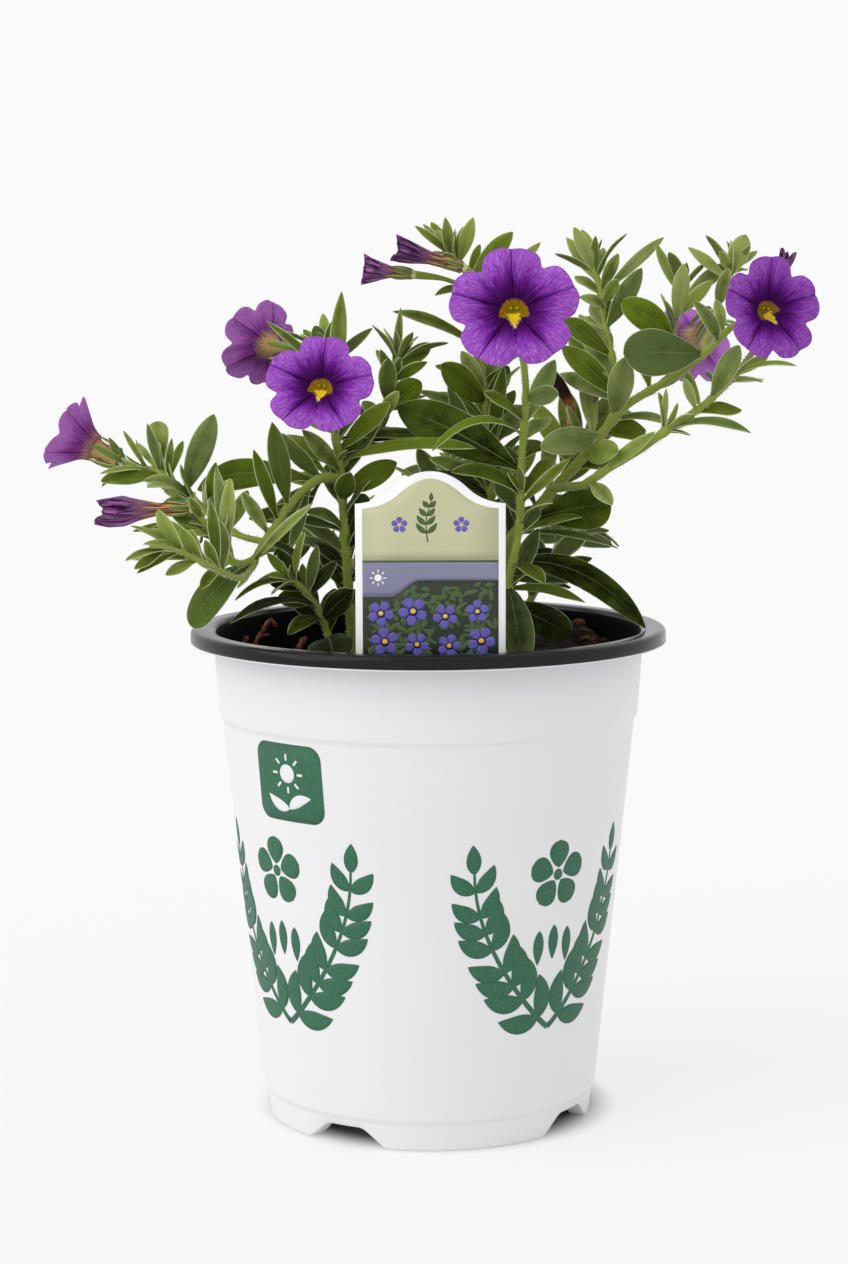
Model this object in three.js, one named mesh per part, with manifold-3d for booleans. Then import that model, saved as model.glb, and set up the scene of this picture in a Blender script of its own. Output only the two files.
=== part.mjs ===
// A potted calibrachoa: nursery pot, potting soil, plant tag, branching shoots with
// their leaves, open flowers and closed flowers.
// Millimetres, +Z up. The origin is the middle of the pot's foot, on the surface it
// stands on, and the front of the pot faces -Y.

import * as THREE from 'three';
import { mergeVertices } from 'three/addons/utils/BufferGeometryUtils.js';
import Module from 'manifold-3d';

const wasm = await Module();
wasm.setup();

// ---------------------------------------------------------------- driving dimensions

const GAP = 0.35;               // air between two pieces that touch

const POT_HEIGHT = 122.5;
const RIM_RADIUS = 59;
const RIM_LIP = 4.6;            // width of the flat top of the rim
const RIM_DROP = 3.5;           // height of the rim's turned-down edge
const BAND_TOP_RADIUS = 53.4;   // the shoulder band under the rim
const BAND_LOW_RADIUS = 52;
const BAND_LOW_Z = 100;
const BODY_TOP_RADIUS = 51.2;
const BODY_LOW_RADIUS = 41.7;
const FOOT_HEIGHT = 7;
const FOOT_RADIUS = 40.3;
const FOOT_WIDTH = 4.2;
const WALL = 1.4;
const BASE_THICKNESS = 1.6;
const FOOT_COUNT = 4;
const NOTCH_HEIGHT = 5.9;
const NOTCH_LOW_WIDTH = 21;
const NOTCH_TOP_WIDTH = 11;
const FIRST_NOTCH_DEG = 59;     // turned from the front of the pot towards +X
const DRAIN_RADIUS = 4;
const RECESS_HEIGHT = 6.1;      // the hollow under the base
const BAND_STEP = 1.2;          // height of the slope where the band meets the body
const EDGE = 0.8;               // bevel on the rim and the feet
const FOOT_DRAFT = 0.6;
const NOTCH_REACH = 18;         // how deep a notch is cut, more than the foot's width

const SOIL_EDGE_Z = 111.7;
const SOIL_CROWN_Z = 112.5;

const TAG_Y = -45;
const TAG_CENTRE_X = 0.5;
const TAG_WIDTH = 35;
const TAG_SHOULDER_Z = 156.5;
const TAG_TOP_Z = 164;
const TAG_BODY_LOW_Z = 118;
const TAG_STAKE_WIDTH = 14;
const TAG_TIP_Z = 62;
const TAG_POINT = 16;           // length of the stake's pointed end
const TAG_THICKNESS = 0.7;

const LEAF_THICKNESS = 0.7;
const PETIOLE_HALF_WIDTH = 0.5;
const STEM_SIDES = 5;
const PETAL_THICKNESS = 0.5;
const SEPAL_SPREAD = 2.8;
const SEPAL_LENGTH = 6.5;
const SEPAL_WIDTH = 1.3;

// ---------------------------------------------------------------- the plant

// Every shoot runs through its points. A shoot with a parent starts clear of it.
const SHOOTS = {
  left_main: {
    radius: [1.5, 1.0],
    points: [[-18.5, -6, 112.9], [-19.5, -8, 132], [-20.5, -9, 148], [-21.5, -10, 164],
      [-22.5, -13, 171], [-23.5, -15.5, 179]],
  },
  left_top: {
    parent: 'left_main',
    radius: [0.9, 0.6],
    points: [[-21.5, -10, 164], [-22.5, -4, 172.5], [-23.5, 2, 182], [-25, 5, 190.5]],
    twigs: [{ radius: 0.6, points: [[-24, 3, 185], [-28, 8, 188.5], [-32, 11, 190]] }],
  },
  centre_left: {
    parent: 'left_main',
    radius: [1.0, 0.7],
    points: [[-21.5, -10, 162.5], [-15.5, -6, 167], [-12, -3, 173.5], [-8.5, 0, 182],
      [-7, 2, 189.5]],
  },
  left_arch: {
    parent: 'left_main',
    radius: [1.1, 0.9],
    points: [[-21.5, -10, 160], [-26.5, -14, 160], [-33.5, -20, 154], [-36.5, -24, 149.5],
      [-40, -28, 144.5], [-42, -30, 140.5]],
  },
  left_upper: {
    parent: 'left_arch',
    radius: [0.9, 0.7],
    points: [[-39, -27, 146], [-45, -22, 147], [-50, -18, 149.5], [-55.5, -14, 154],
      [-60, -11, 156.5], [-65, -8, 161], [-70.5, -5, 163], [-75, -2, 164.5]],
  },
  left_flower: {
    parent: 'left_arch',
    radius: [0.8, 0.6],
    points: [[-41, -29, 142.5], [-44.5, -33, 141.5], [-48, -37, 143.5], [-50.5, -39, 148],
      [-52.5, -40, 152], [-55, -40, 155]],
  },
  left_lower: {
    parent: 'left_arch',
    radius: [0.8, 0.5],
    points: [[-41.5, -30, 140.5], [-44, -38, 138.5], [-48, -47, 141], [-51, -54, 143.5],
      [-55.5, -60, 146.5], [-59.5, -65, 148.5], [-62.5, -68, 149]],
  },
  low_left: {
    radius: [0.9, 0.6],
    points: [[-22, -15, 112.9], [-24, -17, 121], [-26.5, -19, 128.5], [-29.5, -22, 133.5],
      [-33, -25, 137]],
  },
  front: {
    radius: [1.2, 0.9],
    points: [[17.5, -20, 112.9], [19.5, -19, 135], [22, -17, 148], [22.5, -17, 161],
      [23, -18, 170.5], [23.5, -21, 180], [23, -24, 187], [21.5, -26, 195], [20.5, -28, 199]],
  },
  centre_back: {
    radius: [1.1, 0.7],
    points: [[13, 10, 112.9], [15.5, 12, 137.5], [16, 13, 159], [15, 14, 172.5],
      [14, 15, 184], [13, 15, 195], [11.5, 14, 205], [8.5, 12, 211], [5, 11, 214.5]],
    twigs: [
      { radius: 0.6, points: [[11.5, 14, 205], [4, 8, 208], [-3, 5, 209]] },
      { radius: 0.6, points: [[12, 14, 204], [12.5, 7, 207.5], [9.5, 3, 210.5]] },
    ],
  },
  right_main: {
    radius: [1.5, 0.8],
    points: [[19.5, 6, 112.9], [18.5, 5, 130.5], [20, 3, 142], [24, 0, 148], [31.5, -3, 159],
      [37.5, -6, 166], [42, -8, 171.5], [47.5, -11, 177.5], [59.5, -14, 184.5],
      [66.5, -16, 190], [72, -16.5, 195.5], [75.5, -17, 198]],
    twigs: [{ radius: 0.9, points: [[36, -5, 164.5], [36.5, 0, 171.5], [32.5, 3, 180]] }],
  },
  right_upright: {
    parent: 'right_main',
    radius: [0.9, 0.6],
    points: [[47, -11, 177.5], [46, -6, 184.5], [44.5, -1, 193], [43.5, 2, 198],
      [43, 4, 204.5], [41, 6, 210.5]],
  },
  right_inner: {
    parent: 'right_main',
    radius: [0.7, 0.5],
    points: [[58, -13.5, 184], [59.5, -6, 190], [61, 0, 196.5], [62.5, 4, 202.5],
      [63.5, 6, 206.5]],
  },
  right_back: {
    parent: 'right_main',
    radius: [0.7, 0.6],
    points: [[61.5, -14.5, 186], [65, -4, 191], [69.5, 4, 197], [71, 10, 199.5]],
  },
  right_tip: {
    parent: 'right_main',
    radius: [0.8, 0.5],
    points: [[66.5, -16, 190.5], [68.5, -8, 195], [71, -1, 200.5], [73.5, 4, 206],
      [75.5, 6, 210]],
  },
  right_outer: {
    parent: 'right_main',
    radius: [1.2, 0.7],
    points: [[30, -2, 156.5], [34, -9, 157.5], [38, -14, 158.5], [42.5, -18, 162],
      [51, -22, 167.5], [57, -23, 172], [66, -18, 177.5], [75.5, -6, 185], [82, 4, 192.5],
      [86, 9, 201], [87, 10, 204.5]],
  },
  back_left: {
    radius: [1.2, 0.7],
    points: [[-10, 12, 112.9], [-15, 22, 127], [-21, 34, 136], [-29, 46, 139],
      [-36, 58, 138]],
  },
  back_centre: {
    radius: [1.2, 0.7],
    points: [[3, 14, 112.9], [2, 24, 133], [3, 36, 148], [5, 48, 156], [6, 60, 159]],
  },
  back_right: {
    radius: [1.2, 0.7],
    points: [[20, 15, 112.9], [27, 26, 127], [33, 38, 137], [38, 50, 141], [42, 60, 141]],
  },
};

// A leaf: where it grows along its shoot (0 to 1), its tip, its width, how far its middle
// bows out of the straight line, and where its upper face looks. A leaf with a name of its
// own is a separate piece, and the small ones are one growth with their shoot.
const UP = [0, -0.3, 1];
const FRONT = [0, -1, 0.35];
const BACK = [0, 0.5, 1];
const LEFT_OVER = [-0.5, -0.8, 0.6];
const RIGHT_OVER = [0.4, -0.8, 0.6];
const LEAVES = {
  left_main: [
    [0.85, [12, 8, 165], 3.6, 3, UP, 'leaf_left_main_long'],
    [0.72, [-30, -23, 172.5], 3, 1, FRONT],
    [0.50, [-29.5, -16, 152], 3, 2, UP],
    [0.43, [-10, -2, 149], 3.4, 2, UP],
    [0.36, [-34, 4, 143.5], 3.6, 3, UP],
    [0.31, [-9, 8, 138], 4.5, 2, UP],
    [0.20, [-32, 6, 121], 5, 3, UP],
  ],
  left_top: [
    [0.57, [-21, 2, 205], 3.6, 1, FRONT],
    [0.90, [-28, 8, 196.5], 3.6, 1, FRONT],
    [0.99, [-26, 12, 199.5], 2.4, 1, FRONT],
    [0.92, [-31, 14, 195.5], 2.4, 1, FRONT],
    [0.87, [-13.5, 4, 196], 2.4, 1, FRONT],
    [0.61, [-33, 16, 177], 4, 2, UP],
    [0.77, [-39.5, -2, 198], 2, 2, FRONT],
  ],
  centre_left: [
    [0.77, [-6.5, 2, 201], 2, -1, FRONT],
    [0.87, [1, 6, 192], 2.6, 1, FRONT],
    [0.80, [0, -8, 188], 2.4, 1, FRONT],
    [0.91, [-4, 8, 194], 2.2, 1, FRONT],
    [0.96, [-7.5, 4, 195.5], 2, 0, FRONT],
    [0.77, [-11.5, -4, 191], 2.4, 1, FRONT],
    [0.63, [-9.5, -8, 189], 4, 1, FRONT],
    [0.57, [-1.5, -4, 183], 5.2, 1, FRONT, 'leaf_centre_left_oval'],
    [0.48, [-7, -8, 181], 3, 1, FRONT],
    [0.47, [-16, 4, 178], 3, 1, UP],
    [0.27, [-9, 12, 171], 4, 1, UP],
  ],
  left_arch: [
    [0.19, [-57.5, 6, 156], 6, 6, LEFT_OVER, 'leaf_left_arch_long'],
    [0.49, [-37, -26, 174.5], 4.4, 1, FRONT, 'leaf_left_arch_tall'],
    [0.63, [-41.5, -26, 168], 3, 1, FRONT],
    [0.09, [-37.5, -4, 164.5], 3, 3, UP],
    [0.15, [-37.5, -20, 141.5], 2.6, -2, FRONT],
    [0.26, [-33, -24, 144.5], 2.6, -2, FRONT],
    [0.75, [-44.5, -22, 157.5], 3, 1, FRONT],
    [0.97, [-27, -36, 156], 2.2, 3, FRONT],
    [0.81, [-31, -20, 141], 3.6, 1, UP],
    [0.97, [-56.5, -30, 126], 6.6, 3, LEFT_OVER, 'leaf_left_rim'],
  ],
  left_upper: [
    [0.58, [-52, -8, 175.5], 6.8, 1, FRONT, 'leaf_left_upper_tall'],
    [0.75, [-66.5, -2, 173.5], 3.6, 1, FRONT, 'leaf_left_upper_slim'],
    [0.76, [-68, -12, 173.5], 3.2, 1, FRONT],
    [0.85, [-74.5, -6, 171.5], 1.4, 1, FRONT],
    [0.71, [-62, -13, 170], 1.8, 1, FRONT],
    [0.70, [-60.5, 2, 168.5], 2, 1, FRONT],
    [0.77, [-72, 2, 168], 1.6, 1, FRONT],
    [0.73, [-79.5, -12, 159.5], 5, 1, UP],
    [0.81, [-79.5, -14, 161.5], 1.6, 1, UP],
    [0.53, [-68.5, -18, 160], 3.4, 2, UP],
    [0.42, [-51, -18, 164.5], 2.8, 1, FRONT],
    [0.38, [-47, -20, 160.5], 3.4, 1, FRONT],
    [0.24, [-43.5, -16, 157.5], 3, 1, FRONT],
    [0.28, [-52, -22, 156.5], 4, 1, FRONT],
    [0.21, [-54.5, 0, 139], 4.5, 2, UP],
  ],
  left_flower: [
    [0.80, [-60.5, -36, 154], 4, 1, UP],
    [0.70, [-64.5, -44, 151], 2.4, 1, UP],
    [0.65, [-69, -42, 150], 2.6, 2, UP],
    [0.57, [-52.5, -30, 152], 3, 1, FRONT],
    [0.89, [-55.5, -44, 158], 2.2, 1, FRONT],
    [0.34, [-54, -34, 135.5], 3, 1, UP],
  ],
  left_lower: [
    [0.67, [-66, -54, 144.5], 3.2, 1, UP],
    [0.79, [-65, -71, 144.5], 2, 1, UP],
    [0.90, [-67.5, -66, 146.5], 1.8, 1, UP],
    [1.00, [-66.5, -72, 151.5], 1.8, 1, UP],
    [0.93, [-62.5, -66, 153.5], 2, 1, FRONT],
    [0.48, [-58, -46, 139], 3, 1, UP],
  ],
  low_left: [
    [0.84, [-36.5, -18, 143.5], 3, 1, FRONT],
    [0.77, [-26.5, -24, 145], 2.6, 1, FRONT],
    [0.96, [-42, -14, 135], 4, 1, UP],
    [0.91, [-46, -32, 132.5], 2, 3, UP],
    [0.60, [-47, -36, 127.5], 3.2, 4, UP],
    [0.49, [-33.5, -30, 124], 3.4, 2, UP],
    [0.32, [-22, -37, 118], 9, 2, FRONT, 'leaf_low_left_broad'],
    [0.49, [-18, -28, 134.5], 5, 1, FRONT],
  ],
  front: [
    [0.76, [31, -28, 181], 4.5, 1, FRONT, 'leaf_front_right'],
    [0.66, [1, -26, 167.5], 2.8, 6, UP],
    [0.69, [31, -10, 188.5], 3, 1, FRONT],
    [0.56, [-7.5, -4, 174], 9, 3, FRONT, 'leaf_front_broad'],
    [0.47, [34, -24, 165.5], 2.4, 1, FRONT],
    [0.41, [29.5, -32, 155.5], 3.2, 2, UP],
    [0.30, [27.5, -34, 136.5], 4, 2, UP],
    [0.24, [22, -40, 119], 8, 3, FRONT, 'leaf_front_low'],
  ],
  centre_back: [
    [0.61, [3.5, 6, 187], 6, 1, FRONT, 'leaf_centre_back_oval'],
    [0.64, [7, 18, 189], 3.6, 1, FRONT],
    [0.57, [-2.5, 16, 180], 3.4, 1, UP],
    [0.74, [-8.5, 6, 200], 3.4, 2, UP],
    [0.89, [2, 4, 204], 2.6, 1, UP],
    [0.91, [21.5, 16, 219.5], 4.2, 1, FRONT],
    [0.96, [11.5, 8, 223], 3.2, 1, FRONT],
    [0.92, [13.5, 22, 216.5], 2, 1, FRONT],
    [0.99, [-3, 6, 221], 1.8, 1, FRONT],
    [0.99, [1, 16, 222], 2.4, 1, FRONT],
    [0.99, [4.5, 4, 223], 2.4, 1, FRONT],
    [0.99, [-1, 14, 221.5], 1.6, 1, FRONT],
    [0.83, [29, 28, 217], 3, 2, FRONT],
    [0.80, [31.5, 34, 202], 4.5, 2, UP],
    [0.54, [29, 34, 174], 5, 2, UP],
    [0.40, [0.5, 34, 162], 5, 2, UP],
    [0.25, [29, 34, 147], 6, 2, UP, 'leaf_centre_back_low'],
  ],
  right_main: [
    [0.60, [27, -22, 168], 5.5, 1, FRONT, 'leaf_right_main_pale'],
    [0.54, [45.5, -24, 167], 5.5, 1, FRONT],
    [0.26, [43.5, -14, 152], 7.5, 4, FRONT, 'leaf_right_main_dark'],
    [0.30, [47.5, 6, 141], 2.6, 2, UP],
    [0.22, [53, -8, 125.5], 5.5, 10, RIGHT_OVER, 'leaf_right_rim'],
    [0.18, [34, -14, 134.5], 3.2, 1, UP],
    [0.13, [35.5, 2, 119.5], 7.5, 3, FRONT, 'leaf_right_low_dark'],
    [0.16, [40, 18, 126], 3.8, 2, UP, 'leaf_right_low_olive'],
    [0.86, [47, -26, 190.5], 10, 1, FRONT, 'leaf_right_broad'],
    [0.65, [47.5, -20, 189.5], 5.5, 1, FRONT],
    [0.42, [30, 10, 168], 3.4, 1, FRONT],
    [0.36, [41, 12, 147.5], 5, 2, UP],
    [0.64, [61, 0, 172], 3.4, 2, UP],
    [0.75, [52, 0, 191.5], 3, 1, FRONT],
    [0.84, [67, -2, 177], 3, -1, FRONT],
    [0.93, [63, -24, 203], 3, 3, FRONT],
    [0.95, [70, -10, 203], 2.6, 1, FRONT],
  ],
  right_upright: [
    [0.29, [33, -2, 191.5], 4.4, 1, FRONT, 'leaf_right_upright_low'],
    [0.44, [34.5, 6, 197.5], 4, 1, FRONT, 'leaf_right_upright_mid'],
    [0.57, [52.5, -2, 210.5], 4.4, 1, FRONT, 'leaf_right_upright_tall'],
    [0.72, [37, -4, 203.5], 2.6, 2, FRONT],
    [0.56, [40.5, 8, 201.5], 3, 1, FRONT],
    [0.81, [59, 12, 218], 2.2, 2, FRONT],
    [0.84, [47, 2, 214], 2.4, 1, FRONT],
    [0.92, [44, 12, 215.5], 2.4, 1, FRONT],
    [0.97, [36, 2, 220.5], 2.6, 1, FRONT],
    [0.93, [38.5, 12, 220], 2.4, 1, FRONT],
    [0.88, [34.5, 8, 218], 2.2, 1, FRONT],
    [0.76, [46.5, -4, 207.5], 3.2, 0, FRONT],
    [0.38, [42.5, 20, 196.5], 4, 1, UP],
    [0.13, [40, 12, 187.5], 3.4, 1, UP],
  ],
  right_inner: [
    [0.48, [47.5, -4, 202.5], 6, 2, FRONT, 'leaf_right_inner_dark'],
    [0.64, [62.5, -4, 211.5], 3.4, 1, FRONT],
    [0.70, [69.5, -6, 207.5], 3, 1, FRONT],
    [0.89, [56.5, 6, 216.5], 2.4, -1, FRONT],
    [0.82, [75, 10, 211.5], 3.4, 2, FRONT],
    [0.98, [61, 14, 212.5], 2.2, 0, FRONT],
    [0.41, [58, 10, 198], 3.6, 1, UP],
  ],
  right_tip: [
    [0.93, [78.5, 4, 218.5], 4.6, 1, FRONT],
    [0.90, [64, 2, 215.5], 2.6, 1, FRONT],
    [0.99, [71, 10, 216], 1.6, 0, FRONT],
    [0.97, [71.5, -2, 214.5], 2.2, 0, FRONT],
    [0.99, [82, 10, 214.5], 1.8, 1, FRONT],
    [0.61, [73, -8, 210.5], 3.2, 1, FRONT],
    [0.46, [79, 14, 193.5], 3.4, 1, UP],
  ],
  right_outer: [
    [0.41, [76, -34, 172], 2.4, 3, UP, 'leaf_right_outer_long'],
    [0.21, [54, -28, 172], 2.8, 1, FRONT],
    [0.57, [75, -16, 192], 4.6, 1, FRONT],
    [0.69, [89, -14, 187], 2, 2, UP],
    [0.67, [83.5, 6, 183], 1.8, 0, UP],
    [0.51, [61, -24, 184.5], 2.2, 0, FRONT],
    [0.17, [44, -26, 154.5], 3.4, 1, FRONT],
    [0.40, [57, -22, 182], 1.6, 0, FRONT],
  ],
  back_left: [
    [0.35, [-7, 20, 147], 5, 2, BACK],
    [0.50, [-34, 28, 147], 5.5, 2, BACK],
    [0.62, [-14, 52, 151], 5, 2, BACK, 'leaf_back_left_broad'],
    [0.75, [-44, 44, 145], 4.5, 2, BACK],
    [0.88, [-28, 68, 140], 4.5, 2, BACK],
    [0.97, [-42, 62, 147], 3, 1, BACK],
    [1.00, [-46, 66, 133], 4, 2, BACK],
  ],
  back_centre: [
    [0.35, [-14, 28, 139], 5.5, 2, BACK],
    [0.48, [18, 34, 151], 5.5, 2, BACK],
    [0.60, [-10, 50, 159], 5, 2, BACK],
    [0.74, [20, 58, 157], 6, 2, BACK, 'leaf_back_centre_broad'],
    [0.86, [-7, 68, 155], 4.5, 2, BACK],
    [0.96, [12, 70, 159], 3.5, 2, BACK],
    [1.00, [3, 71, 165], 3, 1, BACK],
  ],
  back_right: [
    [0.35, [42, 22, 137], 5, 2, BACK],
    [0.50, [21, 42, 149], 5.5, 2, BACK],
    [0.64, [47, 34, 143], 5.5, 2, BACK, 'leaf_back_right_broad'],
    [0.76, [27, 60, 147], 4.5, 2, BACK],
    [0.88, [51, 52, 137], 4.5, 2, BACK],
    [0.97, [36, 71, 139], 4, 2, BACK],
    [1.00, [47, 68, 145], 3, 1, BACK],
  ],
};

// An open flower sits on the end of its shoot or twig and looks along `facing`.
const FLOWERS = [
  { name: 'flower_front', shoot: 'front', limb: [20, -42, 201.5], radius: 15, turn: 3 },
  { name: 'flower_left', shoot: 'left_main', limb: [-25.5, -32, 183.5], radius: 12.6, turn: 10 },
  { name: 'flower_right', shoot: 'right_main', limb: [81, -31, 201], radius: 12.4, turn: -8 },
  { name: 'flower_left_back', shoot: 'left_top', twig: 0, limb: [-41.5, 20, 193],
    radius: 10.8, turn: 20 },
  { name: 'flower_far_left', shoot: 'left_upper', limb: [-90, 1, 170.5], radius: 10, turn: 30 },
  { name: 'flower_right_back', shoot: 'right_back', limb: [66.5, 22, 191],
    radius: 11.5, turn: 0 },
];

// A closed flower or bud sits on the end of its shoot or twig and ends at its tip.
const BUDS = [
  { name: 'bud_left', shoot: 'left_flower', tip: [-76.5, -43, 155], radius: 3 },
  { name: 'bud_top_left', shoot: 'centre_back', twig: 0, tip: [-15.5, 3, 210.5], radius: 3.2 },
  { name: 'bud_top_dark', shoot: 'centre_back', twig: 1, tip: [-7.5, 0, 215.5], radius: 3 },
  { name: 'bud_right', shoot: 'right_outer', tip: [87.5, 11, 213.5], radius: 1.8 },
];

// ---------------------------------------------------------------- vectors and solids

const vec = ([x, y, z]) => new THREE.Vector3(x, y, z);
const radians = THREE.MathUtils.degToRad;

// A closed skin over rings of points, each ring with the same number of points.
function loft(rings) {
  const count = rings[0].length;
  const points = rings.flat();
  const index = [];
  for (let ring = 0; ring < rings.length - 1; ring++) {
    for (let i = 0; i < count; i++) {
      const a = ring * count + i;
      const b = ring * count + (i + 1) % count;
      index.push(a, b, b + count, a, b + count, a + count);
    }
  }
  for (const ring of [0, rings.length - 1]) {
    const centre = new THREE.Vector3();
    rings[ring].forEach((p) => centre.addScaledVector(p, 1 / count));
    points.push(centre);
    for (let i = 0; i < count; i++) {
      const a = ring * count + i;
      const b = ring * count + (i + 1) % count;
      if (ring === 0) index.push(points.length - 1, b, a);
      else index.push(points.length - 1, a, b);
    }
  }
  const geometry = new THREE.BufferGeometry();
  geometry.setAttribute('position', new THREE.Float32BufferAttribute(
    points.flatMap((p) => [p.x, p.y, p.z]), 3));
  geometry.setIndex(index);
  return facingOut(geometry);
}

// The same geometry with its faces turned outwards.
function facingOut(geometry) {
  const position = geometry.getAttribute('position');
  const index = geometry.getIndex().array;
  const [a, b, c] = [new THREE.Vector3(), new THREE.Vector3(), new THREE.Vector3()];
  let volume = 0;
  for (let i = 0; i < index.length; i += 3) {
    a.fromBufferAttribute(position, index[i]);
    b.fromBufferAttribute(position, index[i + 1]);
    c.fromBufferAttribute(position, index[i + 2]);
    volume += a.dot(b.cross(c));
  }
  if (volume < 0) geometry.setIndex(Array.from(index).reverse());
  return geometry;
}

// Geometry to a solid that can be joined and cut, and back.
function toSolid(geometry) {
  const bare = geometry.clone();
  bare.deleteAttribute('normal');
  bare.deleteAttribute('uv');
  const merged = mergeVertices(bare, 1e-4);
  const triVerts = new Uint32Array(merged.getIndex().array);
  const vertProperties = new Float32Array(merged.getAttribute('position').array);
  return new wasm.Manifold(new wasm.Mesh({ numProp: 3, vertProperties, triVerts }));
}

function toGeometry(solid) {
  const { vertProperties, triVerts } = solid.getMesh();
  const geometry = new THREE.BufferGeometry();
  geometry.setAttribute('position', new THREE.BufferAttribute(vertProperties, 3));
  geometry.setIndex(new THREE.BufferAttribute(triVerts, 1));
  return geometry;
}

// A lathe turned about the Z axis from [radius, z] points.
function turned(profile, segments) {
  const points = profile.map(([r, z]) => new THREE.Vector2(r, z));
  return new THREE.LatheGeometry(points, segments).rotateX(Math.PI / 2);
}

// ---------------------------------------------------------------- pot, soil and tag

function bodyRadius(z) {
  const share = (z - FOOT_HEIGHT) / (BAND_LOW_Z - FOOT_HEIGHT);
  return BODY_LOW_RADIUS + (BODY_TOP_RADIUS - BODY_LOW_RADIUS) * share;
}

function potSolid() {
  const flangeLow = POT_HEIGHT - WALL;
  const innerLow = FOOT_HEIGHT + BASE_THICKNESS;
  const recessRadius = FOOT_RADIUS - FOOT_WIDTH;
  const shell = toSolid(turned([
    [0, RECESS_HEIGHT], [recessRadius, RECESS_HEIGHT], [recessRadius, 0],
    [FOOT_RADIUS - FOOT_DRAFT, 0], [FOOT_RADIUS, EDGE],
    [FOOT_RADIUS + FOOT_DRAFT, FOOT_HEIGHT], [BODY_LOW_RADIUS, FOOT_HEIGHT + FOOT_DRAFT],
    [bodyRadius(BAND_LOW_Z), BAND_LOW_Z],
    [BAND_LOW_RADIUS, BAND_LOW_Z + BAND_STEP], [BAND_TOP_RADIUS, flangeLow],
    [RIM_RADIUS - WALL, flangeLow], [RIM_RADIUS - WALL, POT_HEIGHT - RIM_DROP],
    [RIM_RADIUS, POT_HEIGHT - RIM_DROP], [RIM_RADIUS, POT_HEIGHT - EDGE],
    [RIM_RADIUS - EDGE, POT_HEIGHT], [RIM_RADIUS - RIM_LIP, POT_HEIGHT],
    [BAND_TOP_RADIUS - WALL, POT_HEIGHT - WALL],
    [BAND_LOW_RADIUS - WALL, BAND_LOW_Z + BAND_STEP],
    [bodyRadius(BAND_LOW_Z) - WALL, BAND_LOW_Z], [BODY_LOW_RADIUS - WALL, innerLow + 1],
    [BODY_LOW_RADIUS - WALL - 1, innerLow], [0, innerLow],
  ], 44));
  let pot = shell;
  for (let i = 0; i < FOOT_COUNT; i++) {
    const angle = radians(FIRST_NOTCH_DEG + i * 360 / FOOT_COUNT);
    pot = pot.subtract(toSolid(notchGeometry().rotateZ(angle)));
    pot = pot.subtract(toSolid(drainGeometry().rotateZ(angle)));
  }
  return pot;
}

// The gap between two feet, cut straight through the foot ring at the front of the pot.
function notchGeometry() {
  const corner = 1.2;
  const low = NOTCH_LOW_WIDTH / 2;
  const top = NOTCH_TOP_WIDTH / 2;
  const outline = new THREE.Shape();
  outline.moveTo(-low, -1);
  outline.lineTo(low, -1);
  outline.lineTo(top, NOTCH_HEIGHT - corner);
  outline.lineTo(top - corner, NOTCH_HEIGHT);
  outline.lineTo(-top + corner, NOTCH_HEIGHT);
  outline.lineTo(-top, NOTCH_HEIGHT - corner);
  const notch = new THREE.ExtrudeGeometry(outline, { depth: NOTCH_REACH, bevelEnabled: false });
  return notch.rotateX(Math.PI / 2).translate(0, -FOOT_RADIUS + NOTCH_REACH * 0.57, 0);
}

function drainGeometry() {
  const drain = new THREE.CylinderGeometry(DRAIN_RADIUS, DRAIN_RADIUS, 8, 12);
  const reach = FOOT_RADIUS - FOOT_WIDTH - DRAIN_RADIUS - 1;
  return drain.rotateX(Math.PI / 2).translate(0, -reach, FOOT_HEIGHT + BASE_THICKNESS / 2);
}

function tagOutline(margin) {
  const half = TAG_WIDTH / 2 + margin;
  const stake = TAG_STAKE_WIDTH / 2 + margin;
  const shoulder = TAG_SHOULDER_Z + margin;
  const top = TAG_TOP_Z + margin;
  const outline = new THREE.Shape();
  outline.moveTo(0, TAG_TIP_Z - margin);
  outline.lineTo(stake, TAG_TIP_Z + TAG_POINT);
  outline.lineTo(stake, TAG_BODY_LOW_Z - 3);
  outline.lineTo(half, TAG_BODY_LOW_Z);
  outline.lineTo(half, shoulder);
  const bend = [half - 9, shoulder + 3.8];    // where the hollow shoulder turns into the crown
  const hollow = [half - 5.5, shoulder + 0.3];
  const crown = half - 13;
  outline.quadraticCurveTo(...hollow, ...bend);
  outline.quadraticCurveTo(crown, top, 0, top);
  outline.quadraticCurveTo(-crown, top, -bend[0], bend[1]);
  outline.quadraticCurveTo(-hollow[0], hollow[1], -half, shoulder);
  outline.lineTo(-half, TAG_BODY_LOW_Z);
  outline.lineTo(-stake, TAG_BODY_LOW_Z - 3);
  outline.lineTo(-stake, TAG_TIP_Z + TAG_POINT);
  return outline;
}

// The plant tag with its stake, or with a margin the slot that it needs in the soil.
function tagGeometry(margin) {
  const depth = TAG_THICKNESS + 2 * margin;
  const plate = new THREE.ExtrudeGeometry(tagOutline(margin),
    { depth, bevelEnabled: false, curveSegments: 6 });
  return plate.rotateX(Math.PI / 2).translate(TAG_CENTRE_X, TAG_Y + depth / 2, 0);
}

function soilSolid() {
  const low = FOOT_HEIGHT + BASE_THICKNESS + GAP;
  const inside = (z) => bodyRadius(z) - WALL - 2 * GAP;
  const soil = toSolid(turned([
    [0, low], [inside(low) - 1.4, low], [inside(low + 2), low + 2],
    [inside(BAND_LOW_Z), BAND_LOW_Z], [inside(BAND_LOW_Z), SOIL_EDGE_Z],
    [BODY_TOP_RADIUS * 0.6, SOIL_CROWN_Z], [0, SOIL_CROWN_Z],
  ], 32));
  return soil.subtract(toSolid(tagGeometry(GAP)));
}

// ---------------------------------------------------------------- shoots and leaves

const CURVE_SAMPLES = 80;
const SEAT_STEP = 0.004;

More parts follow.
